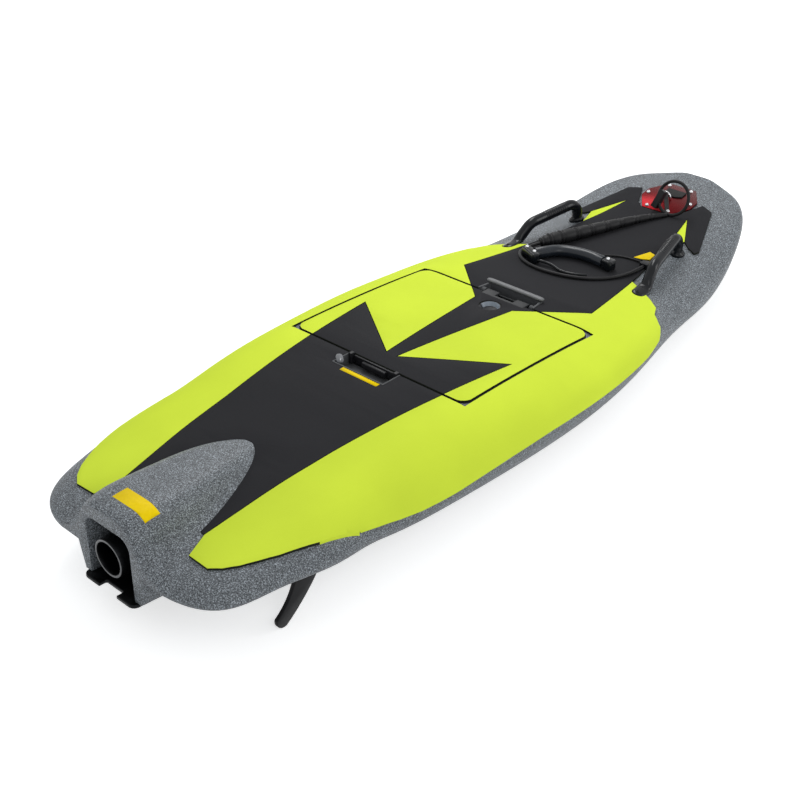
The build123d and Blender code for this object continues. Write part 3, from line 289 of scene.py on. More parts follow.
def shades(tree, factor, stops):
    """A factor turned into colours; each stop is a place from 0 to 1 and its colour."""
    ramp = tree.nodes.new("ShaderNodeValToRGB")
    while len(ramp.color_ramp.elements) < len(stops):
        ramp.color_ramp.elements.new(1.0)
    for stop, (place, colour) in zip(ramp.color_ramp.elements, stops):
        stop.position = place
        stop.color = (*colour, 1.0)
    link_nodes(tree, factor, ramp.inputs["Fac"])
    return ramp.outputs["Color"]


def mixed(tree, mode, amount, first, second):
    """Two colours put together, as paint layers are."""
    mix = tree.nodes.new("ShaderNodeMix")
    mix.data_type = "RGBA"
    mix.blend_type = mode
    mix.inputs["Factor"].default_value = amount
    link_nodes(tree, first, mix.inputs["A"])
    link_nodes(tree, second, mix.inputs["B"])
    return mix.outputs["Result"]


def relief(tree, shader, height, depth, strength=1.0):
    """A height pattern felt by the light as bumps so many metres deep."""
    bump = tree.nodes.new("ShaderNodeBump")
    bump.inputs["Distance"].default_value = depth
    bump.inputs["Strength"].default_value = strength
    link_nodes(tree, height, bump.inputs["Height"])
    link_nodes(tree, bump.outputs["Normal"], shader.inputs["Normal"])


def varied_roughness(tree, shader, factor, low, high):
    """Roughness that wanders between two values, as handling leaves it."""
    spread = tree.nodes.new("ShaderNodeMapRange")
    spread.inputs["To Min"].default_value = low
    spread.inputs["To Max"].default_value = high
    link_nodes(tree, factor, spread.inputs["Value"])
    link_nodes(tree, spread.outputs["Result"], shader.inputs["Roughness"])


def grey(level):
    """One grey."""
    return (level, level, level)


# %% [markdown]
# ### The granite hull
# The hull is blown from grey plastic with dark and light chips in it. Seen close it is salt and pepper
# at two to three millimetres, and it clouds a little at two centimetres. So one fine cloud is cut into
# dark, middle and light by a ramp, and a coarse cloud is laid over it.

# %% Hull finish
hull_finish, tree, shader = start_finish("speckled_hull", 0.5, specular=0.35)
chips = shades(
    tree,
    clouds(tree, 390.0, 4.0, 0.75),
    [
        (0.38, (0.026, 0.029, 0.033)),
        (0.47, (0.100, 0.110, 0.119)),
        (0.54, (0.172, 0.188, 0.204)),
        (0.63, (0.50, 0.55, 0.60)),
    ],
)
haze = shades(tree, clouds(tree, 55.0, 3.0), [(0.3, grey(0.72)), (0.7, grey(1.0))])
link_nodes(tree, mixed(tree, "MULTIPLY", 0.8, chips, haze), shader.inputs["Base Color"])
relief(tree, shader, clouds(tree, 700.0, 3.0), 0.0006, 0.35)
print("finish", hull_finish.name)

# %% [markdown]
# ### Foam pads
# The pads are closed-cell foam with a brushed skin: matt, with a grain finer than a millimetre and
# almost no mirror. Where the sheet is cut, the foam is dark and more open, and the same dark finish also
# paints the shadow in the gap under the pads' low edge.


# %% Foam finishes
def foam(name, low, high, specular=0.12):
    """Foam sheet whose skin wanders between two near colours."""
    material, tree, shader = start_finish(name, 0.82, specular=specular)
    fine = shades(tree, clouds(tree, 900.0, 2.0), [(0.3, low), (0.7, high)])
    wide = shades(tree, clouds(tree, 6.0, 3.0), [(0.3, grey(0.94)), (0.7, grey(1.0))])
    link_nodes(tree, mixed(tree, "MULTIPLY", 1.0, fine, wide), shader.inputs["Base Color"])
    relief(tree, shader, clouds(tree, 1400.0, 2.0), 0.0003, 0.3)
    return material


lime_foam = foam("lime_foam", (0.68, 0.845, 0.048), (0.72, 0.875, 0.062))
black_foam = foam("black_foam", (0.018, 0.018, 0.020), (0.025, 0.025, 0.028))
# The dark cut finish: the foam's own dark sides, and along the low flank edge also painted gap shadow.
cut_foam_and_gap_shadow = foam("cut_foam_and_gap_shadow", (0.012, 0.014, 0.010), (0.020, 0.022, 0.016))
print("finish", lime_foam.name, black_foam.name, cut_foam_and_gap_shadow.name)

# %% [markdown]
# ### Plastics and rubber
# Handles and throttle parts are shiny black plastic with a thin moulded skin. The latch, the hinge frame
# and the tray have a spark-eroded grain that scatters the light. Cables and the sleeve are duller rubber.


# %% Plastic and rubber finishes
def plastic(name, colour, roughness, grain_scale, grain_depth, specular=0.5):
    """Moulded plastic with a grain of its own size."""
    material, tree, shader = start_finish(name, roughness, specular=specular)
    lighter = tuple(1.25 * part for part in colour)
    wander = shades(tree, clouds(tree, 40.0, 3.0), [(0.3, colour), (0.7, lighter)])
    link_nodes(tree, wander, shader.inputs["Base Color"])
    varied_roughness(tree, shader, clouds(tree, 25.0, 3.0), 0.85 * roughness, 1.15 * roughness)
    relief(tree, shader, clouds(tree, grain_scale, 2.0), grain_depth, 0.4)
    return material


gloss_black = plastic("gloss_black", (0.006, 0.007, 0.009), 0.19, 500.0, 0.00006, 0.22)
satin_black = plastic("satin_black", (0.011, 0.011, 0.013), 0.40, 900.0, 0.0003, 0.2)
grained_black = plastic("grained_black", (0.060, 0.062, 0.066), 0.6, 1100.0, 0.0006, 0.3)
rubber = plastic("rubber", (0.009, 0.009, 0.010), 0.45, 800.0, 0.0002, 0.2)
grip_rubber = plastic("grip_rubber", (0.011, 0.014, 0.019), 0.26, 700.0, 0.0001, 0.32)
fin_plastic = plastic("fin_plastic", (0.014, 0.014, 0.015), 0.36, 300.0, 0.0002, 0.1)
lid_plastic = plastic("lid_plastic", (0.024, 0.025, 0.027), 0.5, 600.0, 0.0003, 0.25)
print("finish", gloss_black.name, satin_black.name, grained_black.name, rubber.name)

# %% [markdown]
# ### Metals
# The nose plate is aluminium dyed red, the eye and the screws are polished steel, the impeller is cast
# steel ground on its faces, and the jet's housings are dyed nearly black. Brushing is a cloud stretched
# a hundredfold across one axis, which leaves fine scratches along it.


# %% Metal finishes
def metal(name, colour, roughness, stretch=(1.0, 1.0, 1.0), scale=300.0, depth=0.00005):
    """Metal with scratches along the axis that isn't stretched."""
    material, tree, shader = start_finish(name, roughness, metallic=1.0)
    darker = tuple(0.86 * part for part in colour)
    link_nodes(
        tree,
        shades(tree, clouds(tree, 30.0, 4.0), [(0.3, darker), (0.7, colour)]),
        shader.inputs["Base Color"],
    )
    lines = clouds(tree, scale, 3.0, 0.6, stretch)
    varied_roughness(tree, shader, lines, 0.75 * roughness, 1.3 * roughness)
    relief(tree, shader, lines, depth, 0.5)
    return material


red_anodised = metal("red_anodised", (0.115, 0.003, 0.005), 0.27, (1.0, 12.0, 1.0))
polished_steel = metal("polished_steel", (0.72, 0.73, 0.75), 0.10)
brushed_steel = metal("brushed_steel", (0.55, 0.56, 0.58), 0.30, (1.0, 25.0, 25.0))
dark_anodised = metal("dark_anodised", (0.014, 0.015, 0.016), 0.40, (1.0, 20.0, 1.0))
turned_edge = metal("turned_edge", (0.10, 0.102, 0.105), 0.38, (20.0, 1.0, 20.0))
satin_aluminium = metal("satin_aluminium", (0.50, 0.51, 0.53), 0.36, (20.0, 1.0, 20.0))
print("finish", red_anodised.name, polished_steel.name, brushed_steel.name, dark_anodised.name)

# %% [markdown]
# ### Webbing and labels
# The strap is woven nylon: two waves at right angles, a millimetre and a half apart, make its ribs. The
# labels are plain yellow film, half matt and slightly cloudy, with nothing written on them.


# %% Webbing and label finishes
RIB_SCALE = 210.0
RIB_WANDER = 0.6


def ribs(tree, direction):
    """Light and dark ribs that follow each other along one axis."""
    wave = tree.nodes.new("ShaderNodeTexWave")
    wave.bands_direction = direction
    wave.inputs["Scale"].default_value = RIB_SCALE
    wave.inputs["Distortion"].default_value = RIB_WANDER
    link_nodes(tree, coordinates(tree), wave.inputs["Vector"])
    return wave.outputs["Color"]


webbing, tree, shader = start_finish("webbing", 0.75, specular=0.3)
weave = mixed(tree, "MULTIPLY", 1.0, ribs(tree, "X"), ribs(tree, "Y"))
link_nodes(
    tree, shades(tree, weave, [(0.0, grey(0.008)), (1.0, grey(0.03))]), shader.inputs["Base Color"]
)
relief(tree, shader, weave, 0.0004, 0.6)

label_yellow, tree, shader = start_finish("label_yellow", 0.45, specular=0.08)
link_nodes(
    tree,
    shades(tree, clouds(tree, 160.0, 3.0), [(0.3, (0.90, 0.63, 0.0)), (0.7, (0.95, 0.69, 0.002))]),
    shader.inputs["Base Color"],
)
relief(tree, shader, clouds(tree, 220.0, 2.0), 0.0002, 0.3)
print("finish", webbing.name, label_yellow.name)

# %% [markdown]
# ### The floor's own finish
# A matt sheet of pale grey. To the camera some white of its own is added, so that it meets the white
# background without a line, and the shadow under the hull still shows.

# %% Floor finish
FLOOR_GLOW = 0.60
floor_finish, tree, shader = start_finish("pale_floor", 0.9, specular=0.1)
link_nodes(
    tree,
    shades(tree, clouds(tree, 0.8, 2.0), [(0.3, grey(0.86)), (0.7, grey(0.88))]),
    shader.inputs["Base Color"],
)
glow = tree.nodes.new("ShaderNodeEmission")
glow.inputs["Strength"].default_value = FLOOR_GLOW
dark = tree.nodes.new("ShaderNodeEmission")
dark.inputs["Strength"].default_value = 0.0
pick = tree.nodes.new("ShaderNodeMixShader")
both = tree.nodes.new("ShaderNodeAddShader")
link_nodes(tree, white_rays(tree), pick.inputs[0])
link_nodes(tree, dark.outputs[0], pick.inputs[1])
link_nodes(tree, glow.outputs[0], pick.inputs[2])
link_nodes(tree, shader.outputs[0], both.inputs[0])
link_nodes(tree, pick.outputs[0], both.inputs[1])
link_nodes(tree, both.outputs[0], tree.nodes["Material Output"].inputs[0])
floor_mesh.materials.append(floor_finish)

# %% [markdown]
# ## Softer edges for the solid pieces
# A solid modeller leaves knife edges, and no moulded, cut or machined piece has them. So most solids get
# a copy that stands in their place: the corners that the export doubled are merged, flat neighbours are
# joined into one face, and a bevel runs round every edge that is sharper than a given angle. Copying
# keeps the sizes true, because the bevel only takes material off a corner.


# %% Pieces and soft copies
DOUBLED_MM = 0.01
FLAT_DEGREES = 0.3


def add_piece(name, mesh, node, stands_for=True):
    """A piece rides with a solid and, where it stands for it, hides it."""
    piece = bpy.data.objects.new(name, mesh)
    bpy.context.scene.collection.objects.link(piece)
    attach(piece, frame["nodes"][node]["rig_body"])
    if stands_for:
        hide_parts(node)
    return piece


def merged_mesh(node):
    """A solid's mesh with its doubled corners merged and its flat neighbours joined."""
    mesh = frame["nodes"][node].data.copy()
    solid = bmesh.new()
    solid.from_mesh(mesh)
    bmesh.ops.remove_doubles(solid, verts=solid.verts, dist=DOUBLED_MM * MM)
    flat = math.radians(FLAT_DEGREES)
    bmesh.ops.dissolve_limit(solid, angle_limit=flat, verts=solid.verts, edges=solid.edges)
    solid.to_mesh(mesh)
    solid.free()
    mesh.materials.clear()
    mesh.shade_smooth()
    return mesh


def face_rows(mesh, what):
    """The normal or the centre of every face, one row for each."""
    values = np.empty(len(mesh.polygons) * 3)
    mesh.polygons.foreach_get(what, values)
    return values.reshape(-1, 3)


def two_finishes(mesh, first, second, chosen):
    """One finish for a mesh and another for its chosen faces."""
    mesh.materials.append(first)
    mesh.materials.append(second)
    mesh.polygons.foreach_set("material_index", chosen.astype(np.int32))


def round_edges(piece, width, angle=35.0, segments=2):
    """A bevel of a width in millimetres round every edge sharper than an angle."""
    bevel = piece.modifiers.new("round", "BEVEL")
    bevel.width = width * MM
    bevel.segments = segments
    bevel.limit_method = "ANGLE"
    bevel.angle_limit = math.radians(angle)
    bevel.harden_normals = True


def soft_copy(node, finish, width):
    """A solid's copy in one finish with rounded edges."""
    mesh = merged_mesh(node)
    mesh.materials.append(finish)
    round_edges(add_piece("soft_" + node, mesh, node), width)


SOFT_SOLIDS = [
    ("hull", hull_finish, 1.6),
    ("hatch_lid", lid_plastic, 0.8),
    ("hinge_bezel", grained_black, 1.0),
    ("latch_tray", grained_black, 1.0),
    ("latch_plate", satin_black, 0.8),
    ("latch_bar", satin_black, 0.8),
    ("latch_blocks", satin_black, 1.5),
    ("pump_housing", dark_anodised, 0.8),
    ("stator", satin_aluminium, 0.6),
    ("impeller", brushed_steel, 0.6),
    ("intake_grate", brushed_steel, 1.0),
    ("ride_plate", dark_anodised, 2.0),
    ("fin_port", fin_plastic, 3.0),
    ("fin_starboard", fin_plastic, 3.0),
    ("nose_plate", red_anodised, 0.8),
    ("nose_eye", polished_steel, 0.3),
    ("nose_tab", webbing, 0.8),
    ("tether_ring", rubber, 2.0),
    ("throttle_yoke", gloss_black, 3.0),
    ("throttle_fitting", gloss_black, 3.0),
    ("throttle_lever", gloss_black, 0.5),
    ("throttle_grip", grip_rubber, 0.8),
    ("tag_clip", gloss_black, 2.0),
    ("tag", label_yellow, 0.3),
]
for node, finish, width in SOFT_SOLIDS:
    soft_copy(node, finish, width)
print("soft copies", len(SOFT_SOLIDS))

# %% [markdown]
# ## Foam pads with dark cut sides and a painted gap shadow
# Each pad is knife-cut from sheet foam, so its skin is coloured and its sides are dark and open. A face
# is a cut side when it stands upright on the deck. The faces that face down at the low edge on the flank
# are cut sides too, and their dark finish also paints the shadow in the gap between the pad and the hull.
# The skin on the flank stands nearly upright too, so beyond the deck an upright face is skin.

# %% Pads
FLANK_FROM_MIDDLE = 0.30
UPRIGHT_RISE = 0.04
FLANK_OUTWARD = 0.9
EDGE_RISE = -0.1
EDGE_OUTWARD = 0.3
PAD_ROUND, PAD_ANGLE = 1.0, 40.0


def pad_copy(node, skin):
    """A pad's copy: one finish on its skin, another on its cut sides, also painted shadow at the low edge."""
    mesh = merged_mesh(node)
    normals = face_rows(mesh, "normal")
    rise = normals @ up
    outward = np.abs(normals[:, 0])
    on_flank = np.abs(face_rows(mesh, "center")[:, 0]) > FLANK_FROM_MIDDLE
    upright = (np.abs(rise) < UPRIGHT_RISE) & ~(on_flank & (outward > FLANK_OUTWARD))
    # Painted shadow: faces that face down at the low flank edge take the dark finish for the gap's shade.
    low_edge_painted_shadow = on_flank & (rise < EDGE_RISE) & (outward < EDGE_OUTWARD)
    two_finishes(mesh, skin, cut_foam_and_gap_shadow, upright | low_edge_painted_shadow)
    round_edges(add_piece("foam_" + node, mesh, node), PAD_ROUND, PAD_ANGLE)


for node, skin in (
    ("deck_pad_aft", black_foam),
    ("deck_pad_fore", black_foam),
    ("hatch_pad_black", black_foam),
    ("deck_pad_side", lime_foam),
    ("deck_pad_nose_lime", lime_foam),
    ("hatch_pad_lime", lime_foam),
):
    pad_copy(node, skin)

# %% [markdown]
# ## The cap's wall and its painted highlight
# The round cap is a dish: its floor is as dark as the pad, and its wall is painted blue-grey, a painted
# highlight for the crescent of light that the wall catches. A face of the painted wall is one that faces
# neither up nor down, nor to the bow.

# %% Cap
WALL_RISE = 0.5
WALL_FORWARD = 0.2
CAP_ROUND = 0.6
cap_mesh = merged_mesh("hatch_cap")
# Painted highlight: this blue-grey colour stands in for the light that the dish's wall catches.
cap_wall_painted_highlight = plastic("cap_wall_painted_highlight", (0.20, 0.235, 0.275), 0.35, 500.0, 0.0001, 0.4)
normals = face_rows(cap_mesh, "normal")
wall = (np.abs(normals @ up) < WALL_RISE) & (normals @ bow < WALL_FORWARD)
two_finishes(cap_mesh, satin_black, cap_wall_painted_highlight, wall)
round_edges(add_piece("dished_cap", cap_mesh, "hatch_cap"), CAP_ROUND)
print("cap wall faces", int(wall.sum()))

# %% [markdown]
# ## The nozzle's turned lip
# The nozzle is dyed dark all over, and its lip is turned afterwards, so it shows as a thin grey ring.

# %% Nozzle
NOZZLE_LIP = 0.5
NOZZLE_ROUND = 0.8
nozzle_mesh = merged_mesh("nozzle")
from_tail = (face_rows(nozzle_mesh, "center") - tail) @ bow
lip = from_tail < from_tail.min() + NOZZLE_LIP * MM
two_finishes(nozzle_mesh, dark_anodised, turned_edge, lip)
round_edges(add_piece("turned_nozzle", nozzle_mesh, "nozzle"), NOZZLE_ROUND)
print("lip faces", int(lip.sum()))

# %% [markdown]
# ## Surfaces from rings
# Tubes, bosses and screws are all rings of points joined to the next ring. A ring round a path is the
# path's place, plus a width along one direction square to it times a cosine, plus a height along the
# other times a sine. A turned shape is the same with a straight path and a radius for each height.


# %% Ring surfaces
def unit(way):
    """A direction of length one."""
    way = np.asarray(way, float)
    return way / np.linalg.norm(way, axis=-1, keepdims=True)


def rounded_path(corners, bends, steps=14):
    """Straight runs with a round arc at each bend. An arc starts its radius times the tangent of half
    the turn before the corner, and swings from one run's direction to the next one's."""
    corners = np.asarray(corners, float)
    pieces = [corners[:1]]
    for before, here, after, bend in zip(corners, corners[1:], corners[2:], bends):
        into, out = unit(here - before), unit(after - here)
        turn = math.acos(into @ out)
        inward = unit(out - into * (into @ out))
        swing = np.linspace(0.0, turn, steps)[:, None]
        start = here - bend * math.tan(turn / 2) * into
        pieces.append(start + bend * (np.sin(swing) * into + (1 - np.cos(swing)) * inward))
    return np.vstack([*pieces, corners[-1:]])


def even_steps(path, count):
    """The same path with its points at equal distances."""
    run = np.concatenate(([0.0], np.cumsum(np.linalg.norm(np.diff(path, axis=0), axis=1))))
    places = np.linspace(0.0, run[-1], count)
    return np.stack([np.interp(places, run, path[:, axis]) for axis in range(3)], axis=1)


def rings_along(path, wide, tall, level_way, around=32):
    """Rings square to a path, wide along the direction nearest to a given one and tall across it."""
    ahead = unit(np.gradient(path, axis=0))
    level_way = np.asarray(level_way, float)
    across = unit(level_way - ahead * (ahead @ level_way)[:, None])
    over = np.cross(across, ahead)
    angle = np.linspace(0.0, 2 * math.pi, around, endpoint=False)
    wide = np.broadcast_to(np.asarray(wide, float), (len(path),))[:, None, None]
    tall = np.broadcast_to(np.asarray(tall, float), (len(path),))[:, None, None]
    side = np.cos(angle)[None, :, None] * across[:, None, :]
    rise = np.sin(angle)[None, :, None] * over[:, None, :]
    return path[:, None, :] + wide * side + tall * rise


def turned_rings(profile, place, axis, around=32):
    """Rings round an axis: each row of the profile is a radius and a height along the axis."""
    profile = np.asarray(profile, float)
    axis = unit(axis)
    first = unit(np.cross(axis, (0.0, 1.0, 0.3)))
    second = np.cross(axis, first)
    angle = np.linspace(0.0, 2 * math.pi, around, endpoint=False)
    ring = np.cos(angle)[:, None] * first + np.sin(angle)[:, None] * second
    return np.asarray(place) + profile[:, :1, None] * ring + profile[:, 1:, None] * axis


def ring_mesh(name, finish, grids):
    """One mesh from grids of rings in board millimetres: each face joins two neighbours of a ring with
    the two on the next ring, and rings shrunk to a point close the ends."""
    points, faces, first = [], [], 0
    for grid in grids:
        rows, around = grid.shape[:2]
        index = first + np.arange(rows * around).reshape(rows, around)
        beside = np.roll(index, -1, axis=1)
        quads = np.stack((index[:-1], beside[:-1], beside[1:], index[1:]), axis=-1)
        points.append(on_board(grid).reshape(-1, 3))
        faces.append(quads.reshape(-1, 4))
        first += rows * around
    mesh = bpy.data.meshes.new(name)
    mesh.from_pydata(np.vstack(points).tolist(), [], np.vstack(faces).tolist())
    shell = bmesh.new()
    shell.from_mesh(mesh)
    bmesh.ops.remove_doubles(shell, verts=shell.verts, dist=0.002 * MM)
    bmesh.ops.recalc_face_normals(shell, faces=shell.faces)
    shell.to_mesh(mesh)
    shell.free()
    mesh.materials.append(finish)
    mesh.shade_smooth()
    return mesh


def closed_ends(path, size):
    """A size that falls to nothing over the first and last of a path's rings, like a dome."""
    size = np.broadcast_to(np.asarray(size, float), (len(path),)).copy()
    size[0] = size[-1] = 0.0
    return size


print("ring surfaces ready")

# %% [markdown]
# ## Foot handles
# Each handle is one bent tube. In front it stands in a round boss, aft it bends down to the deck and is
# pressed flat into a tongue with two screws. Its inner side is ribbed where the hand takes it, so the
# ribs are a ripple of the radius that fades round the tube and towards both ends of the patch.

# %% Foot handles
HANDLE_RADIUS = 14.5
HANDLE_LEAN = math.tan(math.radians(13.0))
BOSS_PROFILE = [(0, -8), (21, -8), (21, 4), (20.2, 6.5), (18, 8.2), (16, 9.2), (14.8, 11), (0, 11)]
RIB_AFT, RIB_FORE, RIB_STEP, RIB_DEEP = 1612.0, 1690.0, 7.0, 1.5
HANDLE_BENDS = (32, 50, 24)
HANDLE_RINGS, HANDLE_SIDES = 240, 40
FOOT_FORE, FOOT_FADE, FOOT_WIDER, FOOT_FLATTER = 1540.0, 34.0, 2.5, 8.5
TIP_LONG = 17.0
RIB_FADE = 8
HANDLE_X, HANDLE_Y = 162, 1736
SCREW_SIDES = 20
SCREW_PROFILE = [(0, -3), (1, -3), (1, 0.3), (0.92, 0.62), (0.7, 0.85), (0.5, 0.9), (0.45, 0.3), (0, 0.3)]


def screw_rings(place, axis, radius):
    """A dome-headed screw with a round socket: its profile is a share of its radius."""
    return turned_rings(np.array(SCREW_PROFILE) * radius, place, axis, SCREW_SIDES)


def handle_grids(side):
    """The handle's tube with its flat tongue, and its boss."""
    corners = [
        (side * HANDLE_X, HANDLE_Y, 186),
        (side * HANDLE_X, HANDLE_Y, 245),
        (side * 196, 1566, 223),
        (side * 205, 1524, 182),
        (side * 207, 1472, 177),
    ]
    path = even_steps(rounded_path(corners, HANDLE_BENDS), HANDLE_RINGS)
    flat = np.clip((FOOT_FORE - path[:, 1]) / FOOT_FADE, 0.0, 1.0)
    flat = flat * flat * (3 - 2 * flat)
    to_tip = np.clip((path[:, 1] - path[-1, 1]) / TIP_LONG, 0.0, 1.0)
    tip = np.sqrt(1 - (1 - to_tip) ** 2)
    wide = closed_ends(path, (HANDLE_RADIUS + FOOT_WIDER * flat) * tip)
    tall = closed_ends(path, (HANDLE_RADIUS - FOOT_FLATTER * flat) * tip**0.4)
    grid = rings_along(path, wide, tall, (1.0, 0.0, -side * HANDLE_LEAN), HANDLE_SIDES)
    from_aft = np.clip((path[:, 1] - RIB_AFT) / RIB_FADE, 0, 1)
    patch = from_aft * np.clip((RIB_FORE - path[:, 1]) / RIB_FADE, 0, 1)
    ripple = patch * np.maximum(0.0, np.cos(2 * math.pi * path[:, 1] / RIB_STEP))
    away = grid - path[:, None, :]
    inboard = np.clip(unit(away + 1e-9) @ unit((-side, 0.0, 0.9)), 0.0, 1.0)
    lift = RIB_DEEP * ripple[:, None] * np.sqrt(inboard)
    grid = grid + unit(away + 1e-9) * lift[..., None]
    lean = (side * HANDLE_LEAN, 0.0, 1.0)
    return [grid, turned_rings(BOSS_PROFILE, (side * HANDLE_X, HANDLE_Y, 189), lean, HANDLE_SIDES)], lean


for side, name in ((1, "foot_handle_starboard"), (-1, "foot_handle_port")):
    grids, lean = handle_grids(side)
    add_piece("bent_" + name, ring_mesh("bent_" + name, gloss_black, grids), name)
    screws = [screw_rings((side * 206, y, 182.4), lean, 4.5) for y in (1484, 1504)]
    add_piece("screws_" + name, ring_mesh("screws_" + name, satin_black, screws), name, False)
print("handles", len(bpy.data.meshes["bent_foot_handle_port"].vertices), "vertices each")

# %% [markdown]
# ## The tether sleeve
# A soft ribbed gaiter runs from the throttle's cable up to the ring. Its middle line is a smooth curve of
# the fourth degree through the places where its folds lie. Each length between two folds is a plump
# cushion. At a fold a thin rim stands out, and on both sides of the rim the radius dips: the rim and the
# dips fall away with the square of the distance. The gaiter lies on the pad, so its underside is pressed
# level where a ring would go lower than the pad.

# %% Tether sleeve
SLEEVE_FOLDS = np.array(
    [
        (-122.7, 1513.6, 207.4, 12.0),
        (-107.6, 1537.0, 209.4, 18.5),
        (-98.0, 1569.0, 210.5, 19.0),
        (-81.0, 1614.0, 211.5, 18.5),
        (-63.5, 1657.9, 212.5, 17.5),
        (-46.0, 1703.1, 214.1, 16.0),
        (-26.0, 1746.0, 216.2, 14.0),
        (-7.0, 1789.1, 218.8, 11.8),
        (16.0, 1826.9, 221.9, 9.5),
        (46.0, 1866.0, 224.0, 6.3),
    ]
)
SLEEVE_RINGS, SLEEVE_SIDES, CURVE_DEGREE = 520, 36, 4
SLEEVE_MIDDLE, SLEEVE_HALF = 1690.0, 180.0
sleeve_y = np.linspace(SLEEVE_FOLDS[0, 1], SLEEVE_FOLDS[-1, 1], SLEEVE_RINGS)
fold_share = (SLEEVE_FOLDS[:, 1] - SLEEVE_MIDDLE) / SLEEVE_HALF
ring_share = (sleeve_y - SLEEVE_MIDDLE) / SLEEVE_HALF
across, over = (
    np.polyval(np.polyfit(fold_share, SLEEVE_FOLDS[:, column], CURVE_DEGREE), ring_share) for column in (0, 2)
)
sleeve_path = np.stack([across, sleeve_y, over], axis=1)
to_fold = np.abs(sleeve_y[:, None] - SLEEVE_FOLDS[None, :, 1]).min(axis=1)
rim = 1.0 / (1.0 + (to_fold / 1.3) ** 2)
dip = 1.0 / (1.0 + ((to_fold - 5.0) / 2.2) ** 2)
sleeve_size = np.interp(sleeve_y, SLEEVE_FOLDS[:, 1], SLEEVE_FOLDS[:, 3]) * (1.02 + 0.07 * rim - 0.15 * dip)
sleeve_size = closed_ends(sleeve_path, sleeve_size)
sleeve_rings = rings_along(sleeve_path, sleeve_size, 0.92 * sleeve_size, (1.0, 0.0, 0.0), SLEEVE_SIDES)
pad_height = np.interp(sleeve_y, (1513.6, 1703.1, 1866.0), (191.7, 200.5, 217.6))
sleeve_rings[..., 2] = np.maximum(sleeve_rings[..., 2], pad_height[:, None])
add_piece("ribbed_sleeve", ring_mesh("ribbed_sleeve", rubber, [sleeve_rings]), "tether_sleeve")
print("sleeve", sleeve_path[0].round(), sleeve_path[-1].round())

# %% [markdown]
# ## Screws and strap on the nose plate
# Six dome-headed screws hold the plate down near its corners, and a flat strap runs from the eye back to
# the ring. Both stand on the plate's own slope, so their places are given on it: across, along, and out.

# %% Nose plate fittings
PLATE_PLACE = np.array((0.0, 1948.0, 230.2))
PLATE_SLOPE = math.radians(11.3)
plate_along = np.array((0.0, math.cos(PLATE_SLOPE), math.sin(PLATE_SLOPE)))
plate_out = np.array((0.0, -math.sin(PLATE_SLOPE), math.cos(PLATE_SLOPE)))
PLATE_TOP = 5.0


def on_plate(across, along, out):
    """A place on the nose plate, in board millimetres."""
    return PLATE_PLACE + (across, 0.0, 0.0) + along * plate_along + out * plate_out


screws = [
    screw_rings(on_plate(x, y, PLATE_TOP), plate_out, 5.5)
    for x, y in ((68, 0), (-68, 0), (34, -60), (-34, -60), (35, 58), (-35, 58))
]
add_piece("plate_screws", ring_mesh("plate_screws", polished_steel, screws), "nose_plate", False)

strap_corners = [on_plate(-12, 2, 15), on_plate(4, -20, 12), on_plate(26, -52, 7), on_plate(40, -76, 8)]
strap_path = even_steps(rounded_path(strap_corners, (30, 30)), 60)
strap_rings = rings_along(
    strap_path, closed_ends(strap_path, 6.0), closed_ends(strap_path, 1.4), (0.8, 0.5, 0.0), 16
)
add_piece("nose_webbing", ring_mesh("nose_webbing", webbing, [strap_rings]), "nose_strap")
print("plate screws", len(screws))

# %% [markdown]
# ## The hinge frame's bar and the latch's thumb knob
# Along the fore side of the hinge pocket runs a thick rounded bar with a coarse grain, and at the port end
# of the latch stands a smooth rounded knob. Both are rings along a short straight path, wider than tall,
# whose size follows a flattened circle, so both ends close. The bar stays fore of the opened hatch.

# %% Bar and knob
bar_finish = plastic("bar_finish", (0.11, 0.112, 0.118), 0.42, 800.0, 0.0009, 0.45)
bar_path = np.linspace((-90, 1252, 203), (86, 1252, 203), 120)
to_end = np.linspace(-1.0, 1.0, len(bar_path))
bar_size = np.sqrt(np.clip(1.0 - to_end**20, 0.0, 1.0))
bar_rings = rings_along(bar_path, 8.0 * bar_size, 4.5 * bar_size, (0.0, 1.0, 0.0), 28)
add_piece("bezel_bar", ring_mesh("bezel_bar", bar_finish, [bar_rings]), "hinge_bezel", False)

knob_path = np.linspace((-88, 716, 205), (-58, 692, 205), 30)
knob_size = np.sqrt(np.clip(1.0 - np.linspace(-1.0, 1.0, 30) ** 4, 0.0, 1.0))
knob_rings = rings_along(knob_path, 9.0 * knob_size, 6.0 * knob_size, (0.7, 0.7, 0.0), 32)
knob_finish = plastic("knob_finish", (0.10, 0.105, 0.115), 0.20, 600.0, 0.0001, 0.5)
add_piece("latch_knob", ring_mesh("latch_knob", knob_finish, [knob_rings]), "latch_tray", False)
print("bar", len(bar_path), "knob", len(knob_path))

# %% [markdown]
# ## Small screws on the throttle
# The yoke and the end fitting are clamped by bright socket screws.

# %% Throttle screws
UPRIGHT = (0.0, 0.0, 1.0)
THROTTLE_SCREW = 5.0
yoke_screws = [screw_rings((x, y, 219), UPRIGHT, THROTTLE_SCREW) for x, y in ((-114, 1445), (-82, 1434))]
add_piece("yoke_screws", ring_mesh("yoke_screws", polished_steel, yoke_screws), "throttle_yoke", False)
fitting_screws = [screw_rings((86, 1524, 220), UPRIGHT, THROTTLE_SCREW)]
fitting_mesh = ring_mesh("fitting_screws", polished_steel, fitting_screws)
add_piece("fitting_screws", fitting_mesh, "throttle_fitting", False)
print("throttle screws", len(yoke_screws) + len(fitting_screws))

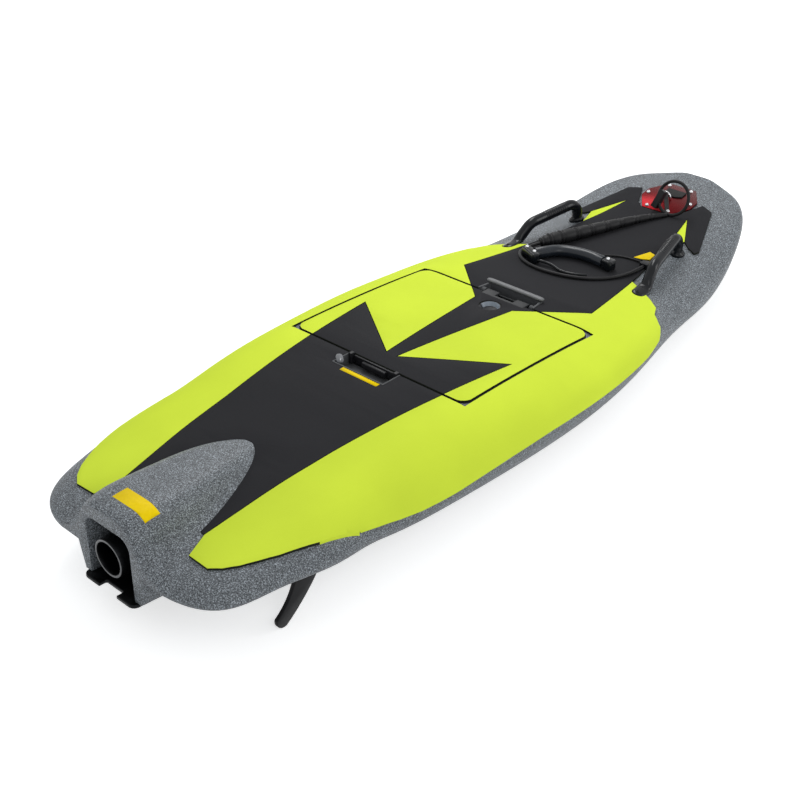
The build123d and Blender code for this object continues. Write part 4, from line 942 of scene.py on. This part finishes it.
# %% [markdown]
# ## Two bare yellow labels
# One lies over the hump, one on the pad behind the latch. A label follows what it is glued to, so it is
# cut out of that skin itself: the solid's copy is sliced along four upright planes, only what faces up is
# kept, and a film of a third of a millimetre is put on it. Nothing is printed on either.


# %% Labels
FILM_MM = 0.35
FACES_UP = 0.3


def cut_label(name, node, x_ends, y_ends):
    """The part of a solid's upper skin between two distances across and two along the board."""
    mesh = merged_mesh(node)
    film = bmesh.new()
    film.from_mesh(mesh)
    for x, y, way in (
        (x_ends[0], 0.0, -starboard),
        (x_ends[1], 0.0, starboard),
        (0.0, y_ends[0], -bow),
        (0.0, y_ends[1], bow),
    ):
        parts = [*film.verts, *film.edges, *film.faces]
        bmesh.ops.bisect_plane(
            film, geom=parts, plane_co=on_board((x, y, 0.0)), plane_no=way, clear_outer=True
        )
    below = [face for face in film.faces if np.dot(face.normal, up) < FACES_UP]
    bmesh.ops.delete(film, geom=below, context="FACES")
    film.to_mesh(mesh)
    film.free()
    mesh.materials.append(label_yellow)
    mesh.shade_smooth()
    thickness = add_piece(name, mesh, node, False).modifiers.new("film", "SOLIDIFY")
    thickness.thickness = FILM_MM * MM
    thickness.offset = 1.0


cut_label("hump_label", "hull", (-23, 74), (39, 75))
cut_label("latch_label", "deck_pad_aft", (-40, 70), (670, 682))

# %% [markdown]
# ## Solids that keep their own shape
# The pins, the shaft and the two closed masses only need their finish. They lie inside, so their own
# meshes stay as they are.

# %% Plain solids and cords
for node, finish in (
    ("hinge_pin", dark_anodised),
    ("drive_shaft", brushed_steel),
    ("battery", satin_black),
    ("motor", satin_aluminium),
):
    mesh = frame["nodes"][node].data
    mesh.materials.clear()
    mesh.materials.append(finish)

for cord, thick, length, node, far_end, fittings in (
    (cable, CABLE_THICK, 0.494, "tether_cable", "fitting", ["soft_tag_clip", "soft_tag"]),
    (thin_cord, CORD_THICK, 0.132, "tag_cord", "object", []),
):
    cord.data.materials.append(rubber)
    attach(cord, "board")
    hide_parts(node)
print("cords", cable.name, thin_cord.name)
